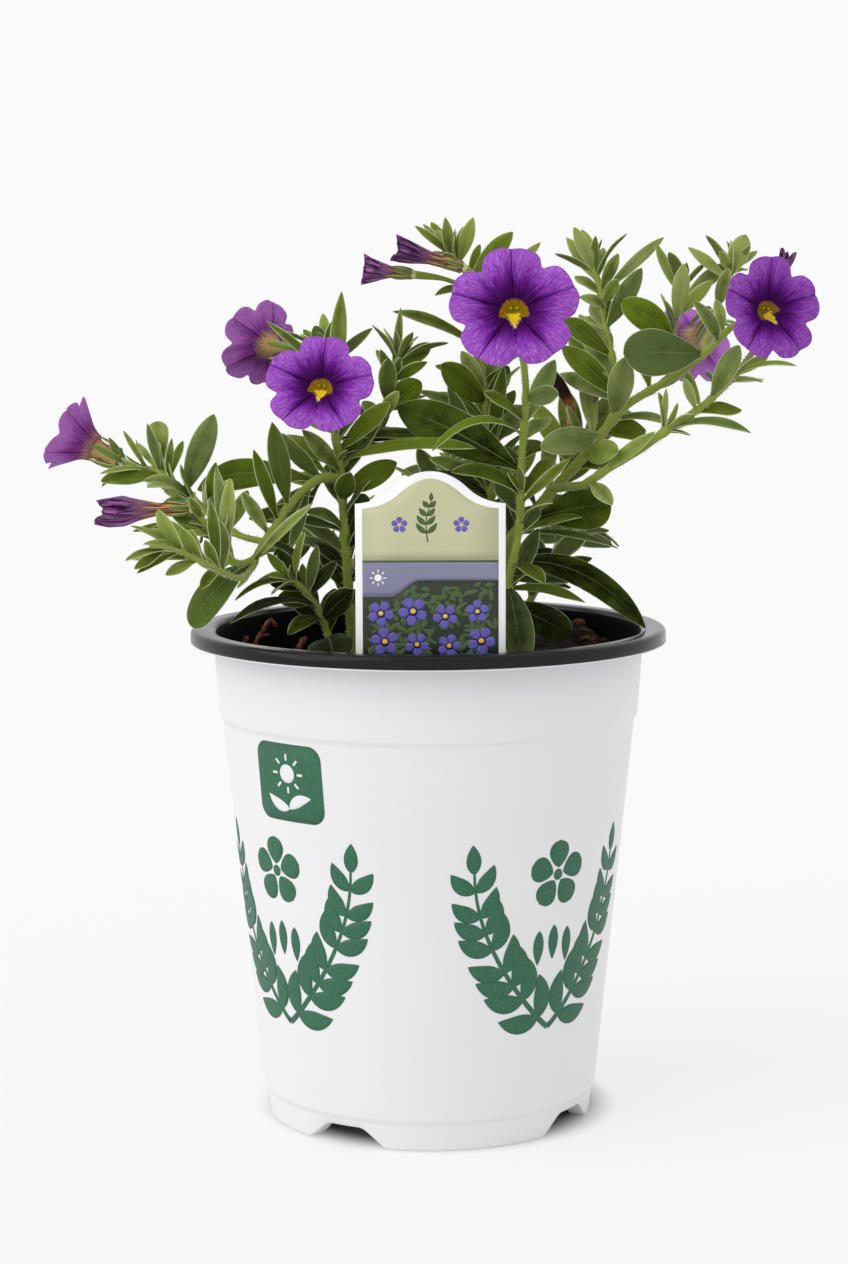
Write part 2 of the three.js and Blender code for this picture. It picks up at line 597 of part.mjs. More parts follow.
function curveOf(points) {
  return new THREE.CatmullRomCurve3(points.map(vec), false, 'centripetal');
}

function radiusAt(shoot, share) {
  return THREE.MathUtils.lerp(shoot.radius[0], shoot.radius[1], share);
}

// How far along a curve a piece that starts there first stands clear of its shoot.
function clearShare(curve, shootName, ownRadius) {
  const shoot = SHOOTS[shootName];
  const spine = curveOf(shoot.points).getSpacedPoints(CURVE_SAMPLES);
  const isClear = (point) => spine.every((p, i) => p.distanceTo(point)
    > radiusAt(shoot, i / CURVE_SAMPLES) + GAP);
  let share = 0;
  while (share < 1 && !startRing(curve, share, ownRadius).every(isClear)) share += SEAT_STEP;
  return share;
}

function startRing(curve, share, radius) {
  const along = curve.getTangentAt(share);
  const across = perpendicular(along);
  return ringAround(curve.getPointAt(share), across, along.clone().cross(across), radius,
    STEM_SIDES);
}

// A round stem that tapers from its first radius to its last. Its foot is cut level where
// it stands on the soil.
function stemGeometry(points, startRadius, endRadius, startShare = 0, levelFoot = false) {
  const curve = curveOf(points);
  const steps = Math.round(points.length * 1.5);
  const rings = [];
  let across = perpendicular(curve.getTangentAt(startShare));
  for (let step = 0; step <= steps; step++) {
    const share = THREE.MathUtils.lerp(startShare, 1, step / steps);
    const along = curve.getTangentAt(share);
    across = across.clone().addScaledVector(along, -across.dot(along)).normalize();
    rings.push(ringAround(curve.getPointAt(share), across, along.clone().cross(across),
      THREE.MathUtils.lerp(startRadius, endRadius, share), STEM_SIDES));
  }
  if (levelFoot) rings[0].forEach((p) => { p.z = points[0][2]; });
  return loft(rings);
}

function ringAround(centre, across, along, radius, sides) {
  return Array.from({ length: sides }, (_, i) => {
    const angle = i * 2 * Math.PI / sides;
    return centre.clone()
      .addScaledVector(across, radius * Math.cos(angle))
      .addScaledVector(along, radius * Math.sin(angle));
  });
}

// The bowed middle line of a leaf, from its seat on the shoot to its tip.
function leafCurve(base, tip, bow, face) {
  const along = tip.clone().sub(base).normalize();
  const upper = face.clone().addScaledVector(along, -face.dot(along)).normalize();
  const middle = base.clone().lerp(tip, 0.5).addScaledVector(upper, 2 * bow);
  return new THREE.QuadraticBezierCurve3(base, middle, tip);
}

// A leaf: a thin blade, folded a little along its midrib and narrow at its foot.
const BLADE = [[0, 0], [0.16, 0.4], [0.42, 0.93], [0.66, 1], [0.86, 0.66], [1, 0.1]];
const SMALL_BLADE = [[0, 0], [0.55, 1], [1, 0.12]];

function leafGeometry(curve, width, face, startShare, stations) {
  const ribbed = stations === BLADE;
  const rings = stations.map(([share, breadth]) => {
    const at = startShare + (1 - startShare) * share;
    const centre = curve.getPointAt(at);
    const along = curve.getTangentAt(at);
    const upper = face.clone().addScaledVector(along, -face.dot(along)).normalize();
    const across = along.clone().cross(upper);
    const half = Math.max(PETIOLE_HALF_WIDTH * (1 - share), breadth * width / 2);
    const thick = LEAF_THICKNESS * (share < 1 ? 0.5 : 0.2);
    const lift = 0.16 * half;
    const edges = [half, -half].map((reach) => centre.clone()
      .addScaledVector(across, reach).addScaledVector(upper, lift));
    const ridge = centre.clone().addScaledVector(upper, thick);
    const keel = centre.clone().addScaledVector(upper, -thick);
    return ribbed ? [edges[0], ridge, edges[1], keel] : [edges[0], edges[1], keel];
  });
  return loft(rings);
}

// The last point of a shoot or of one of its twigs, where a flower sits.
function seatOf({ shoot, twig }) {
  const points = twig === undefined ? SHOOTS[shoot].points : SHOOTS[shoot].twigs[twig].points;
  return vec(points.at(-1));
}

// Five narrow sepals that stand around the tube of a flower.
function sepalSolids(seat, axis) {
  const side = perpendicular(axis);
  return Array.from({ length: 5 }, (_, i) => {
    const out = side.clone().applyAxisAngle(axis, i * 2 * Math.PI / 5);
    const middle = seat.clone().addScaledVector(out, SEPAL_SPREAD).addScaledVector(axis, 0.3);
    const tip = seat.clone().addScaledVector(out, SEPAL_SPREAD)
      .addScaledVector(axis, SEPAL_LENGTH);
    const curve = new THREE.QuadraticBezierCurve3(seat, middle, tip);
    return toSolid(leafGeometry(curve, SEPAL_WIDTH, out.clone().negate(), 0, SMALL_BLADE));
  });
}

function perpendicular(axis) {
  const helper = Math.abs(axis.z) < 0.9 ? new THREE.Vector3(0, 0, 1) : new THREE.Vector3(0, 1, 0);
  return helper.addScaledVector(axis, -helper.dot(axis)).normalize();
}

// One shoot with its twigs, its small leaves and the sepals of its flowers.
function shootSolid(name) {
  const shoot = SHOOTS[name];
  const curve = curveOf(shoot.points);
  const [start, end] = shoot.radius;
  const startShare = shoot.parent ? clearShare(curve, shoot.parent, start) : 0;
  let solid = toSolid(stemGeometry(shoot.points, start, end, startShare, !shoot.parent));
  for (const twig of shoot.twigs ?? []) {
    solid = solid.add(toSolid(stemGeometry(twig.points, twig.radius, twig.radius)));
  }
  for (const [at, tip, width, bow, face, ownName] of LEAVES[name] ?? []) {
    if (ownName) continue;
    const blade = leafCurve(curve.getPointAt(at), vec(tip), bow, vec(face));
    solid = solid.add(toSolid(leafGeometry(blade, width, vec(face), 0, SMALL_BLADE)));
  }
  for (const flower of [...FLOWERS, ...BUDS].filter((f) => f.shoot === name)) {
    const seat = seatOf(flower);
    const axis = vec(flower.limb ?? flower.tip).sub(seat).normalize();
    for (const sepal of sepalSolids(seat, axis)) solid = solid.add(sepal);
  }
  return solid;
}

function ownLeaves(name) {
  const curve = curveOf(SHOOTS[name].points);
  return (LEAVES[name] ?? []).filter((leaf) => leaf[5]).map(([at, tip, width, bow, face, own]) => {
    const blade = leafCurve(curve.getPointAt(at), vec(tip), bow, vec(face));
    const startShare = clearShare(blade, name, PETIOLE_HALF_WIDTH);
    return [own, leafGeometry(blade, width, vec(face), startShare, BLADE)];
  });
}

// ---------------------------------------------------------------- flowers

// [share of the length from seat to limb, radius] of the tube, then the same of the limb
// with its radius as a share of the whole flower's.
const TUBE_PROFILE = [[0.12, 0.9], [0.6, 1.5], [0.83, 3]];
const LIMB_PROFILE = [[0.93, 0.42], [0.99, 0.72], [1, 1]];
const PETAL_POINTS = 20;

// The edge of the limb: five lobes, parted by a notch and dented in their middle.
function lobeReach(angle) {
  const notch = Math.abs(Math.sin(2.5 * angle)) ** 6;
  const dent = Math.abs(Math.cos(2.5 * angle)) ** 10;
  return 1 - 0.17 * notch - 0.03 * dent;
}

function corollaGeometry(seat, limb, limbRadius, turn) {
  const axis = limb.clone().sub(seat).normalize();
  const up = perpendicular(axis);
  const side = axis.clone().cross(up);
  const ring = (height, radius, lobed) => Array.from({ length: PETAL_POINTS }, (_, i) => {
    const angle = i * 2 * Math.PI / PETAL_POINTS;
    const reach = radius * THREE.MathUtils.lerp(1, lobeReach(angle), lobed);
    const wave = lobed * 0.5 * Math.cos(5 * angle);
    return seat.clone().addScaledVector(axis, height + wave)
      .addScaledVector(up, reach * Math.cos(angle + radians(turn)))
      .addScaledVector(side, reach * Math.sin(angle + radians(turn)));
  });
  const length = limb.distanceTo(seat);
  const outside = TUBE_PROFILE.map(([h, r]) => ring(h * length, r, 0));
  const under = LIMB_PROFILE.map(([h, r]) => ring(h * length, r * limbRadius, r * r));
  const over = LIMB_PROFILE.map(([h, r]) => ring(
    h * length + PETAL_THICKNESS, r * limbRadius - 0.15, r * r)).reverse();
  const inside = TUBE_PROFILE.slice(-2).map(([h, r]) => ring(
    h * length + PETAL_THICKNESS, r - PETAL_THICKNESS, 0)).reverse();
  return loft([...outside, ...under, ...over, ...inside]);
}

// A closed flower: a slim tube that swells into the folded, twisted lobes.
const BUD_PROFILE = [[0, 0.2], [0.3, 0.4], [0.55, 0.8], [0.75, 1], [0.92, 0.7], [1, 0.15]];

function budGeometry(seat, tip, radius) {
  const axis = tip.clone().sub(seat).normalize();
  const up = perpendicular(axis);
  const side = axis.clone().cross(up);
  const start = seat.clone().addScaledVector(axis, 1.5);
  return loft(BUD_PROFILE.map(([share, swell]) => Array.from({ length: 10 }, (_, i) => {
    const angle = i * Math.PI / 5 + share;
    const fold = i % 2 ? 1 : 1 - 0.25 * share;
    return start.clone().lerp(tip, share)
      .addScaledVector(up, radius * swell * fold * Math.cos(angle))
      .addScaledVector(side, radius * swell * fold * Math.sin(angle));
  })));
}

// ---------------------------------------------------------------- the assembly

const MATERIALS = {
  pot: { color: 0xe9ebee, roughness: 0.45 },
  soil: { color: 0x2a1f1a, roughness: 1 },
  tag: { color: 0xf0f0f0, roughness: 0.4 },
  shoot: { color: 0x6f8a4a, roughness: 0.7 },
  leaf: { color: 0x4c6b37, roughness: 0.65 },
  petal: { color: 0x7d3fb0, roughness: 0.6 },
  bud: { color: 0x4a2160, roughness: 0.7 },
};

const plant = new THREE.Group();

function place(name, geometry, look) {
  const mesh = new THREE.Mesh(geometry, new THREE.MeshStandardMaterial(MATERIALS[look]));
  mesh.name = name;
  plant.add(mesh);
}

place('pot', toGeometry(potSolid()), 'pot');
place('potting_soil', toGeometry(soilSolid()), 'soil');
place('plant_tag', tagGeometry(0), 'tag');
for (const name of Object.keys(SHOOTS)) {
  place(`shoot_${name}`, toGeometry(shootSolid(name)), 'shoot');
  for (const [ownName, geometry] of ownLeaves(name)) place(ownName, geometry, 'leaf');
}
for (const { name, limb, radius, turn, ...seat } of FLOWERS) {
  place(name, corollaGeometry(seatOf(seat), vec(limb), radius, turn), 'petal');
}
for (const { name, tip, radius, ...seat } of BUDS) {
  place(name, budGeometry(seatOf(seat), vec(tip), radius), 'bud');
}

export default plant;
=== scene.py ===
"""A potted calibrachoa: nursery pot, soil, plant tag, downy shoots and violet flowers.

Measures are in millimetres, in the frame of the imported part: +Z up, the origin under the
middle of the pot, the front facing -Y. Meshes and textures are in metres.
"""

import math
import random

import bpy
import numpy as np
from mathutils import Euler, Matrix, Vector, noise


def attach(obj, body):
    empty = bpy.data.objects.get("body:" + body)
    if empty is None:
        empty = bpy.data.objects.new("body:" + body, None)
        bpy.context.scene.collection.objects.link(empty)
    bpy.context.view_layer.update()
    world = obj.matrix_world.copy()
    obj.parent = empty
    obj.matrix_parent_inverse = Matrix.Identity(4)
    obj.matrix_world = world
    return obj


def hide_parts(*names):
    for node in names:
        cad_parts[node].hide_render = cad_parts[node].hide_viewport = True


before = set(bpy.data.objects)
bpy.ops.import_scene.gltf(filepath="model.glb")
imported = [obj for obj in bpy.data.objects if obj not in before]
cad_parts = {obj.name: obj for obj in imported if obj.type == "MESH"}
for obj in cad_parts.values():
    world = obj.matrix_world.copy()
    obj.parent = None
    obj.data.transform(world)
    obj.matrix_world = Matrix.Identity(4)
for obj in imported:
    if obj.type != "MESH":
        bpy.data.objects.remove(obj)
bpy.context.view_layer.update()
rng = random.Random(7)
MM = 0.001
TURN = 2 * math.pi
QUARTER = TURN / 4

# ---------------- camera and light

IMAGE_HEIGHT = 1264
FOCAL_PIXELS = 2943
SENSOR = 36.0
CAMERA_AT = (-1.06, -726.4, 212.5)
CAMERA_PITCH = 0.1256       # radians below the horizon
CAMERA_ROLL = -0.0035
WORLD_STRENGTH = 0.956
SUN_STRENGTH = 1.15
SUN_SPREAD = math.radians(62)
SUN_FROM = (-0.74, -0.40, 0.54)


def link(name, data):
    """Puts a new object in the scene."""
    made = bpy.data.objects.new(name, data)
    bpy.context.scene.collection.objects.link(made)
    return made


def make_camera():
    data = bpy.data.cameras.new("camera")
    data.sensor_width = SENSOR
    data.lens = FOCAL_PIXELS / IMAGE_HEIGHT * SENSOR
    data.clip_end = 100
    camera = link("camera", data)
    turn = Matrix.Rotation(math.pi / 2 - CAMERA_PITCH, 4, "X")
    roll = Matrix.Rotation(CAMERA_ROLL, 4, "Z")
    camera.matrix_world = Matrix.Translation(Vector(CAMERA_AT) * MM) @ turn @ roll
    bpy.context.scene.camera = camera


def make_lights():
    """An even white studio with one broad light from the upper left."""
    world = bpy.data.worlds.new("studio")
    world.use_nodes = True
    background = world.node_tree.nodes["Background"]
    background.inputs["Color"].default_value = (1, 1, 1, 1)
    background.inputs["Strength"].default_value = WORLD_STRENGTH
    bpy.context.scene.world = world
    sun = bpy.data.lights.new("key", "SUN")
    sun.energy = SUN_STRENGTH
    sun.angle = SUN_SPREAD
    link("key", sun).rotation_euler = Vector(SUN_FROM).to_track_quat("Z", "Y").to_euler()
    bpy.context.scene.view_settings.view_transform = "Standard"


# ---------------- shader nodes

def srgb(*levels):
    """A colour from 0 to 255 values, as Blender's linear one."""
    shares = [level / 255 for level in levels]
    return (*(s / 12.92 if s <= 0.04045 else ((s + 0.055) / 1.055) ** 2.4 for s in shares), 1)


class Value:
    """A shader value. Each sum, product or call on it adds a node."""

    def __init__(self, shader, socket):
        self.shader, self.socket = shader, socket

    def __add__(self, other):
        return self.shader.math("ADD", self, other)

    def __sub__(self, other):
        return self.shader.math("SUBTRACT", self, other)

    def __rsub__(self, other):
        return self.shader.math("SUBTRACT", other, self)

    def __mul__(self, other):
        return self.shader.math("MULTIPLY", self, other)

    def __truediv__(self, other):
        return self.shader.math("DIVIDE", self, other)

    def __abs__(self):
        return self.shader.math("ABSOLUTE", self)

    def ramp(self, low, high, start=0.0, end=1.0):
        """The value from low to high, smoothly turned into start to end."""
        return self.shader.node("MapRange", {"interpolation_type": "SMOOTHSTEP"}, Value=self,
                                From_Min=low, From_Max=high, To_Min=start, To_Max=end)


class Shader:
    """A material and short calls that add nodes to it."""

    def __init__(self, name):
        self.material = bpy.data.materials.new(name)
        self.material.use_nodes = True
        self.tree = self.material.node_tree
        self.surface = self.tree.nodes["Principled BSDF"]

    def node(self, kind, settings=None, out=0, **inputs):
        """Adds a node and gives one of its outputs."""
        made = self.tree.nodes.new("ShaderNode" + kind)
        for key, value in (settings or {}).items():
            setattr(made, key, value)
        for key, value in inputs.items():
            self.feed(made.inputs[key.replace("_", " ")], value)
        return Value(self, made.outputs[out])

    def feed(self, socket, value):
        if isinstance(value, Value):
            self.tree.links.new(value.socket, socket)
        else:
            socket.default_value = value

    def math(self, operation, *values):
        made = self.node("Math", {"operation": operation})
        for socket, value in zip(made.socket.node.inputs, values):
            self.feed(socket, value)
        return made

    def layers(self, colour, *coats):
        """A colour under coats, each of them a share and a colour."""
        for share, coat in coats:
            colour = self.node("Mix", {"data_type": "RGBA"}, "Result", Factor=share, A=colour,
                               B=coat)
        return colour

    def split(self, kind, **vector):
        """The three parts of a vector or colour."""
        return [Value(self, part) for part in self.node(kind, **vector).socket.node.outputs]

    def place(self):
        return self.node("TexCoord", None, "Object")

    def uv(self):
        return self.split("SeparateXYZ", Vector=self.node("UVMap", {"uv_map": "surface"}))[:2]

    def tone(self):
        """The three values that are painted on the piece's points."""
        return self.split("SeparateColor", Color=self.node("Attribute", {"attribute_name": "tone"}))

    def noise(self, scale, detail=3.0, rough=0.55, at=None, warp=0.0):
        return self.node("TexNoise", Vector=at or self.place(), Scale=scale, Detail=detail,
                         Roughness=rough, Distortion=warp)

    def drawn(self, x, y, detail, rough, warp):
        """Noise in surface measures, so that it can be drawn out into streaks."""
        return self.noise(1.0, detail, rough, self.node("CombineXYZ", X=x, Y=y), warp)

    def bump(self, height, strength, distance):
        self.feed(self.surface.inputs["Normal"], self.node(
            "Bump", Height=height, Strength=strength, Distance=distance))

    def finish(self, colour, roughness, gloss, **others):
        inputs = {"Base_Color": colour, "Roughness": roughness, "Specular_IOR_Level": gloss}
        for key, value in {**inputs, **others}.items():
            self.feed(self.surface.inputs[key.replace("_", " ")], value)
        return self.material


# ---------------- materials

LEAF_DEEP = srgb(12, 20, 3)
LEAF_MIDDLE = srgb(70, 88, 19)
LEAF_BRIGHT = srgb(148, 162, 92)
# Fresh yellow-green: young leaves' own colour, and painted light shining through a blade.
LEAF_FRESH_AND_BACKLIT = srgb(116, 138, 30)
LEAF_GREY = srgb(95, 112, 72)
LEAF_DOWN = srgb(148, 160, 98)
LEAF_EDGE = srgb(198, 208, 160)
LEAF_UNDER = srgb(106, 120, 70)
LEAF_RIB = srgb(126, 140, 76)
STEM_GREEN = srgb(120, 134, 38)
STEM_PALE = srgb(148, 160, 80)
PETAL_PALE = srgb(200, 150, 224)
FOOT_SHADE_CENTRE = (0.002, 0.0035, 0)
FOOT_SHADE_REACH = (0.034, 0.047)   # from the floor's darkest glow to its full one
FLOOR_GLOW = 0.62
SOFT = {"Sheen_Weight": 0.02, "Sheen_Roughness": 0.35, "Subsurface_Weight": 0.06,
        "Subsurface_Scale": 0.6}


def leaf_material():
    """A downy leaf. U runs from its foot to its tip and V across it. Its painted values are a
    shade, its own tone with painted light and shade from where it stands; the share of its
    half-width that the pale margin takes (1 underneath); and a hue from -1, grey with down, to
    1, fresh yellow-green, which is partly its own colour and partly painted light through it."""
    shader = Shader("leaf_green")
    along, across = shader.uv()
    shade, border, hue = shader.tone()
    under, side = border.ramp(0.55, 0.95), abs(across * 2 - 1)
    level = (shader.noise(210) - 0.5) * 0.55 + shade + side.ramp(0.1, 0.7, -0.07, 0.05)
    lit = level.ramp(-0.1, 0.4, 0.3, 1.0)
    tint = hue * lit * 0.6
    rib = side.ramp(0.06, 0.015) * along.ramp(1.0, 0.0, 0.05, 0.6)
    vein = shader.math("SINE", (along * 9 - side * 1.9) * TURN).ramp(0.8, 1.0)
    down = shader.noise(3200, 1)
    margin = ((1 - side) / border).ramp(1.1, 0.3) * lit * 0.88 * (1 - under)
    green = shader.layers(
        LEAF_DEEP, (level.ramp(0.0, 0.5), LEAF_MIDDLE), (level.ramp(0.5, 1.0), LEAF_BRIGHT),
        (tint, LEAF_FRESH_AND_BACKLIT), (tint * -1, LEAF_GREY), (under * 0.5, LEAF_UNDER), (rib, LEAF_RIB),
        (vein * 0.07, LEAF_RIB), (down.ramp(0.5, 0.75) * lit * 0.12, LEAF_DOWN),
        (margin, LEAF_EDGE))
    shader.bump(down * 0.5 + vein * -0.7, 0.5, 0.00022)
    return shader.finish(green, 0.5, 0.02, Subsurface_Radius=(0.001, 0.0014, 0.0004), **SOFT)


def stem_material():
    """A downy stem. Its painted values say how brown it is, and how dead."""
    shader = Shader("stem_green")
    woody, dead, _ = shader.tone()
    down, streaks = shader.noise(4200, 2), shader.noise(420, 2)
    brown = shader.layers(srgb(108, 92, 72), (shader.noise(700, 2), srgb(140, 128, 104)))
    dry = shader.layers(srgb(122, 74, 38), (streaks.ramp(0.4, 0.6), srgb(176, 128, 76)))
    colour = shader.layers(
        STEM_GREEN, (streaks, STEM_PALE), (down.ramp(0.5, 0.8, 0, 0.35), LEAF_DOWN),
        (woody, brown), (dead.ramp(0.0, 0.4), dry), (dead.ramp(0.4, 0.9), srgb(34, 20, 17)))
    shader.bump(down + streaks, 0.5, 0.00022)
    return shader.finish(colour, 0.6, 0.04, Sheen_Weight=0.5, Sheen_Roughness=0.3)


def petal_material(name, light, middle, deep, back):
    """An open flower. U counts lobes round it, from the middle of the top one, and V is the
    share of its radius. Its painted values are a turn of the throat and a darkness."""
    shader = Shader(name)
    round_, out = shader.uv()
    turned, dark, _ = shader.tone()
    lobe = abs(shader.math("FRACT", round_ + 0.5) - 0.5)
    streak = shader.drawn(round_ * 11, out * 2.4, 4, 0.6, 0.4)
    fine = shader.drawn(round_ * 44, out * 8, 4, 0.7, 0.8)
    reach = out + (streak - 0.5) * 0.6 - lobe.ramp(0.16, 0.0, 0.0, 0.1)
    pale = fine.ramp(0.5, 0.36) * reach.ramp(0.35, 0.8, 0.04, 0.38)
    ray = (lobe * (out + 0.1)).ramp(0.019, 0.003) * out.ramp(1.0, 0.55, 0.5, 0.9)
    colour = shader.layers(
        deep, (reach.ramp(0.26, 0.68), middle), (reach.ramp(0.45, 0.95, 0, 0.9), light),
        (fine.ramp(0.48, 0.62) * 0.34, middle), (pale, PETAL_PALE), (ray, deep))
    if back:
        tube = shader.layers(srgb(204, 170, 88), (fine.ramp(0.5, 0.62), srgb(92, 38, 84)))
        colour = shader.layers(colour, ((out + (fine - 0.5) * 0.9).ramp(0.36, 0.12), tube))
    else:
        colour = throat_colour(shader, colour, (round_ - turned) * (TURN / 5), out, fine)
    colour = shader.layers(colour, (dark * 0.6, deep), (dark * -0.8, PETAL_PALE))
    shader.bump(fine * 0.6 + ray * -0.8, 0.4, 0.0003)
    return shader.finish(colour, 0.55, 0.015, Subsurface_Radius=(0.0012, 0.0005, 0.0014), **SOFT)


def throat_colour(shader, colour, spin, out, fine):
    """Adds the throat: an olive and brown roof, and a ragged yellow lip below it."""
    across, up = out * shader.math("SINE", spin), out * shader.math("COSINE", spin)
    ragged = fine * 0.4 + shader.noise(1500, 2, 0.7) * 0.6 - 0.5
    wide, high = across / 0.24, (up + 0.1) / 0.3
    oval = shader.math("SQRT", wide * wide + high * high)
    roof = (oval + ragged * 0.3).ramp(1.03, 0.88) * (up + ragged * 0.07).ramp(-0.14, -0.1)
    edge = shader.layers(srgb(178, 134, 18), (fine.ramp(0.44, 0.58), srgb(100, 62, 8)))
    brown = shader.layers(srgb(124, 106, 12), (oval.ramp(0.45, 0.85), edge))
    narrow = abs(across) + (up + 0.1) * -0.36 + ragged * 0.3
    lip = (narrow.ramp(0.112, 0.078) * (across * across + ragged * 0.1 + up).ramp(-0.02, -0.06)
           * (up + ragged * 0.2).ramp(-0.36, -0.27))
    yellow = shader.layers(srgb(238, 204, 40), (fine.ramp(0.45, 0.7), srgb(208, 158, 14)),
                           (up.ramp(-0.22, -0.34), srgb(240, 228, 150)))
    return shader.layers(colour, (roof, brown), (lip, yellow))


def bud_material():
    """A closed flower. U runs along it and V round it. Its first painted value darkens it."""
    shader = Shader("bud_purple")
    along, round_ = shader.uv()
    fine = shader.drawn(round_ * 34, along * 3, 3, 0.6, 0.3)
    foot = shader.layers(srgb(196, 158, 92), (fine.ramp(0.4, 0.55), srgb(84, 42, 44)))
    colour = shader.layers(
        srgb(48, 12, 50), (fine.ramp(0.38, 0.66), srgb(176, 116, 182)),
        (shader.tone()[0] * 0.7, srgb(38, 8, 38)),
        (((fine - 0.5) * 0.35 + along).ramp(0.68, 0.32), foot))
    shader.bump(fine, 0.5, 0.0004)
    return shader.finish(colour, 0.6, 0.06, Sheen_Weight=0.08, Sheen_Roughness=0.4)


def down_material():
    shader = Shader("down_pale")
    colour = shader.layers(srgb(176, 188, 132), (shader.noise(300, 2), srgb(206, 212, 176)))
    return shader.finish(colour, 0.6, 0.1)


def plastic(name, colour, roughness, grain, tint=None, gloss=0.42, shade_under_rim=None):
    """Moulded plastic: faint flow marks in its colour and gloss. Upwards from the first of two
    given heights to the second, in metres, it is painted darker: painted shade under the rim."""
    shader = Shader(name)
    cloud = shader.noise(26)
    shaded = shader.layers(colour, (cloud.ramp(0.3, 0.7, 0, 0.5), tint or colour))
    if shade_under_rim:
        height = shader.split("SeparateXYZ", Vector=shader.place())[2]
        # Painted shade under the rim: a grey laid over the top of the band.
        shaded = shader.layers(shaded, (height.ramp(*shade_under_rim, 0, 0.2), srgb(176, 177, 180)))
    shader.bump(shader.noise(2600, 2), grain, 0.0001)
    return shader.finish(shaded, cloud.ramp(0.3, 0.7, roughness - 0.04, roughness + 0.05), gloss)


def printed(name, colour, second=srgb(90, 140, 110)):
    """Ink on plastic, with a slightly uneven coat."""
    shader = Shader(name)
    fill = shader.layers(colour, (shader.noise(1500, 2).ramp(0.35, 0.7, 0, 0.16), second))
    return shader.finish(fill, 0.5, 0.4)


def soil_material():
    """Peat and bark. Its painted values are the share of bark and, last, a darkness."""
    shader = Shader("peat_black")
    woody, _, dark = shader.tone()
    grain = shader.noise(1400, 4, 0.7)
    bark = shader.layers(srgb(66, 36, 24), (grain.ramp(0.3, 0.7), srgb(168, 112, 82)))
    colour = shader.layers(srgb(14, 10, 9), (grain.ramp(0.35, 0.72), srgb(54, 39, 31)),
                           (woody, bark), (dark * 0.25, srgb(20, 14, 11)))
    shader.bump(grain + shader.noise(260, 3, 0.6), 0.9, 0.0012)
    return shader.finish(colour, 0.9, 0.25)


def floor_material():
    """A pale floor that glows a little, so that shadows on it stay soft and light, but not
    under the pot and close round its foot, where they are dark."""
    shader = Shader("floor_white")
    away = shader.node("VectorMath", {"operation": "DISTANCE"}, "Value", Vector=shader.place())
    away.socket.node.inputs[1].default_value = FOOT_SHADE_CENTRE
    colour = shader.layers(srgb(146, 146, 146), (shader.noise(3, 2), srgb(148, 148, 148)))
    return shader.finish(colour, 0.8, 0.0, Emission_Color=(1, 1, 1, 1),
                         Emission_Strength=away.ramp(*FOOT_SHADE_REACH, 0.0, FLOOR_GLOW))


LEAF = leaf_material()
STEM = stem_material()
DOWN = down_material()
PETAL_FRONT = petal_material("petal_front", srgb(152, 82, 184), srgb(112, 31, 148),
                             srgb(46, 0, 58), False)
PETAL_BACK = petal_material("petal_back", srgb(178, 114, 194), srgb(146, 74, 160),
                            srgb(88, 28, 92), True)
BUD = bud_material()
# The white pot is painted darker high on its band: painted shade under the rim.
POT_WHITE = plastic("pot_white", srgb(222, 222, 223), 0.36, 0.12, srgb(219, 219, 221),
                    shade_under_rim=(0.104, 0.119))
POT_BLACK = plastic("pot_black", srgb(14, 14, 14), 0.2, 0.1, srgb(18, 18, 18), 0.24)
POT_LINING = plastic("pot_lining", srgb(9, 8, 8), 0.7, 0.2, srgb(13, 11, 10), 0.04)
INK_GREEN = printed("ink_green", srgb(34, 92, 66))
TAG_WHITE = plastic("tag_white", srgb(238, 238, 240), 0.4, 0.08)
TAG_SAGE = printed("tag_sage", srgb(188, 187, 150), srgb(198, 196, 162))
TAG_BAND = printed("tag_band", srgb(126, 125, 152), srgb(134, 133, 158))
TAG_DARK = printed("tag_dark", srgb(34, 44, 30), srgb(58, 70, 40))
TAG_LEAF = printed("tag_leaf", srgb(66, 88, 48), srgb(92, 112, 64))
TAG_VIOLET = printed("tag_violet", srgb(92, 84, 170), srgb(132, 120, 200))
TAG_DEEP = printed("tag_deep", srgb(46, 24, 96), srgb(60, 34, 110))
TAG_YELLOW = printed("tag_yellow", srgb(232, 190, 60), srgb(214, 160, 40))
PEAT = soil_material()
ANTHER = printed("anther_green", srgb(142, 146, 26), srgb(166, 160, 40))


# ---------------- the plant

ROOT_Z = 112.9              # where the stems leave the soil
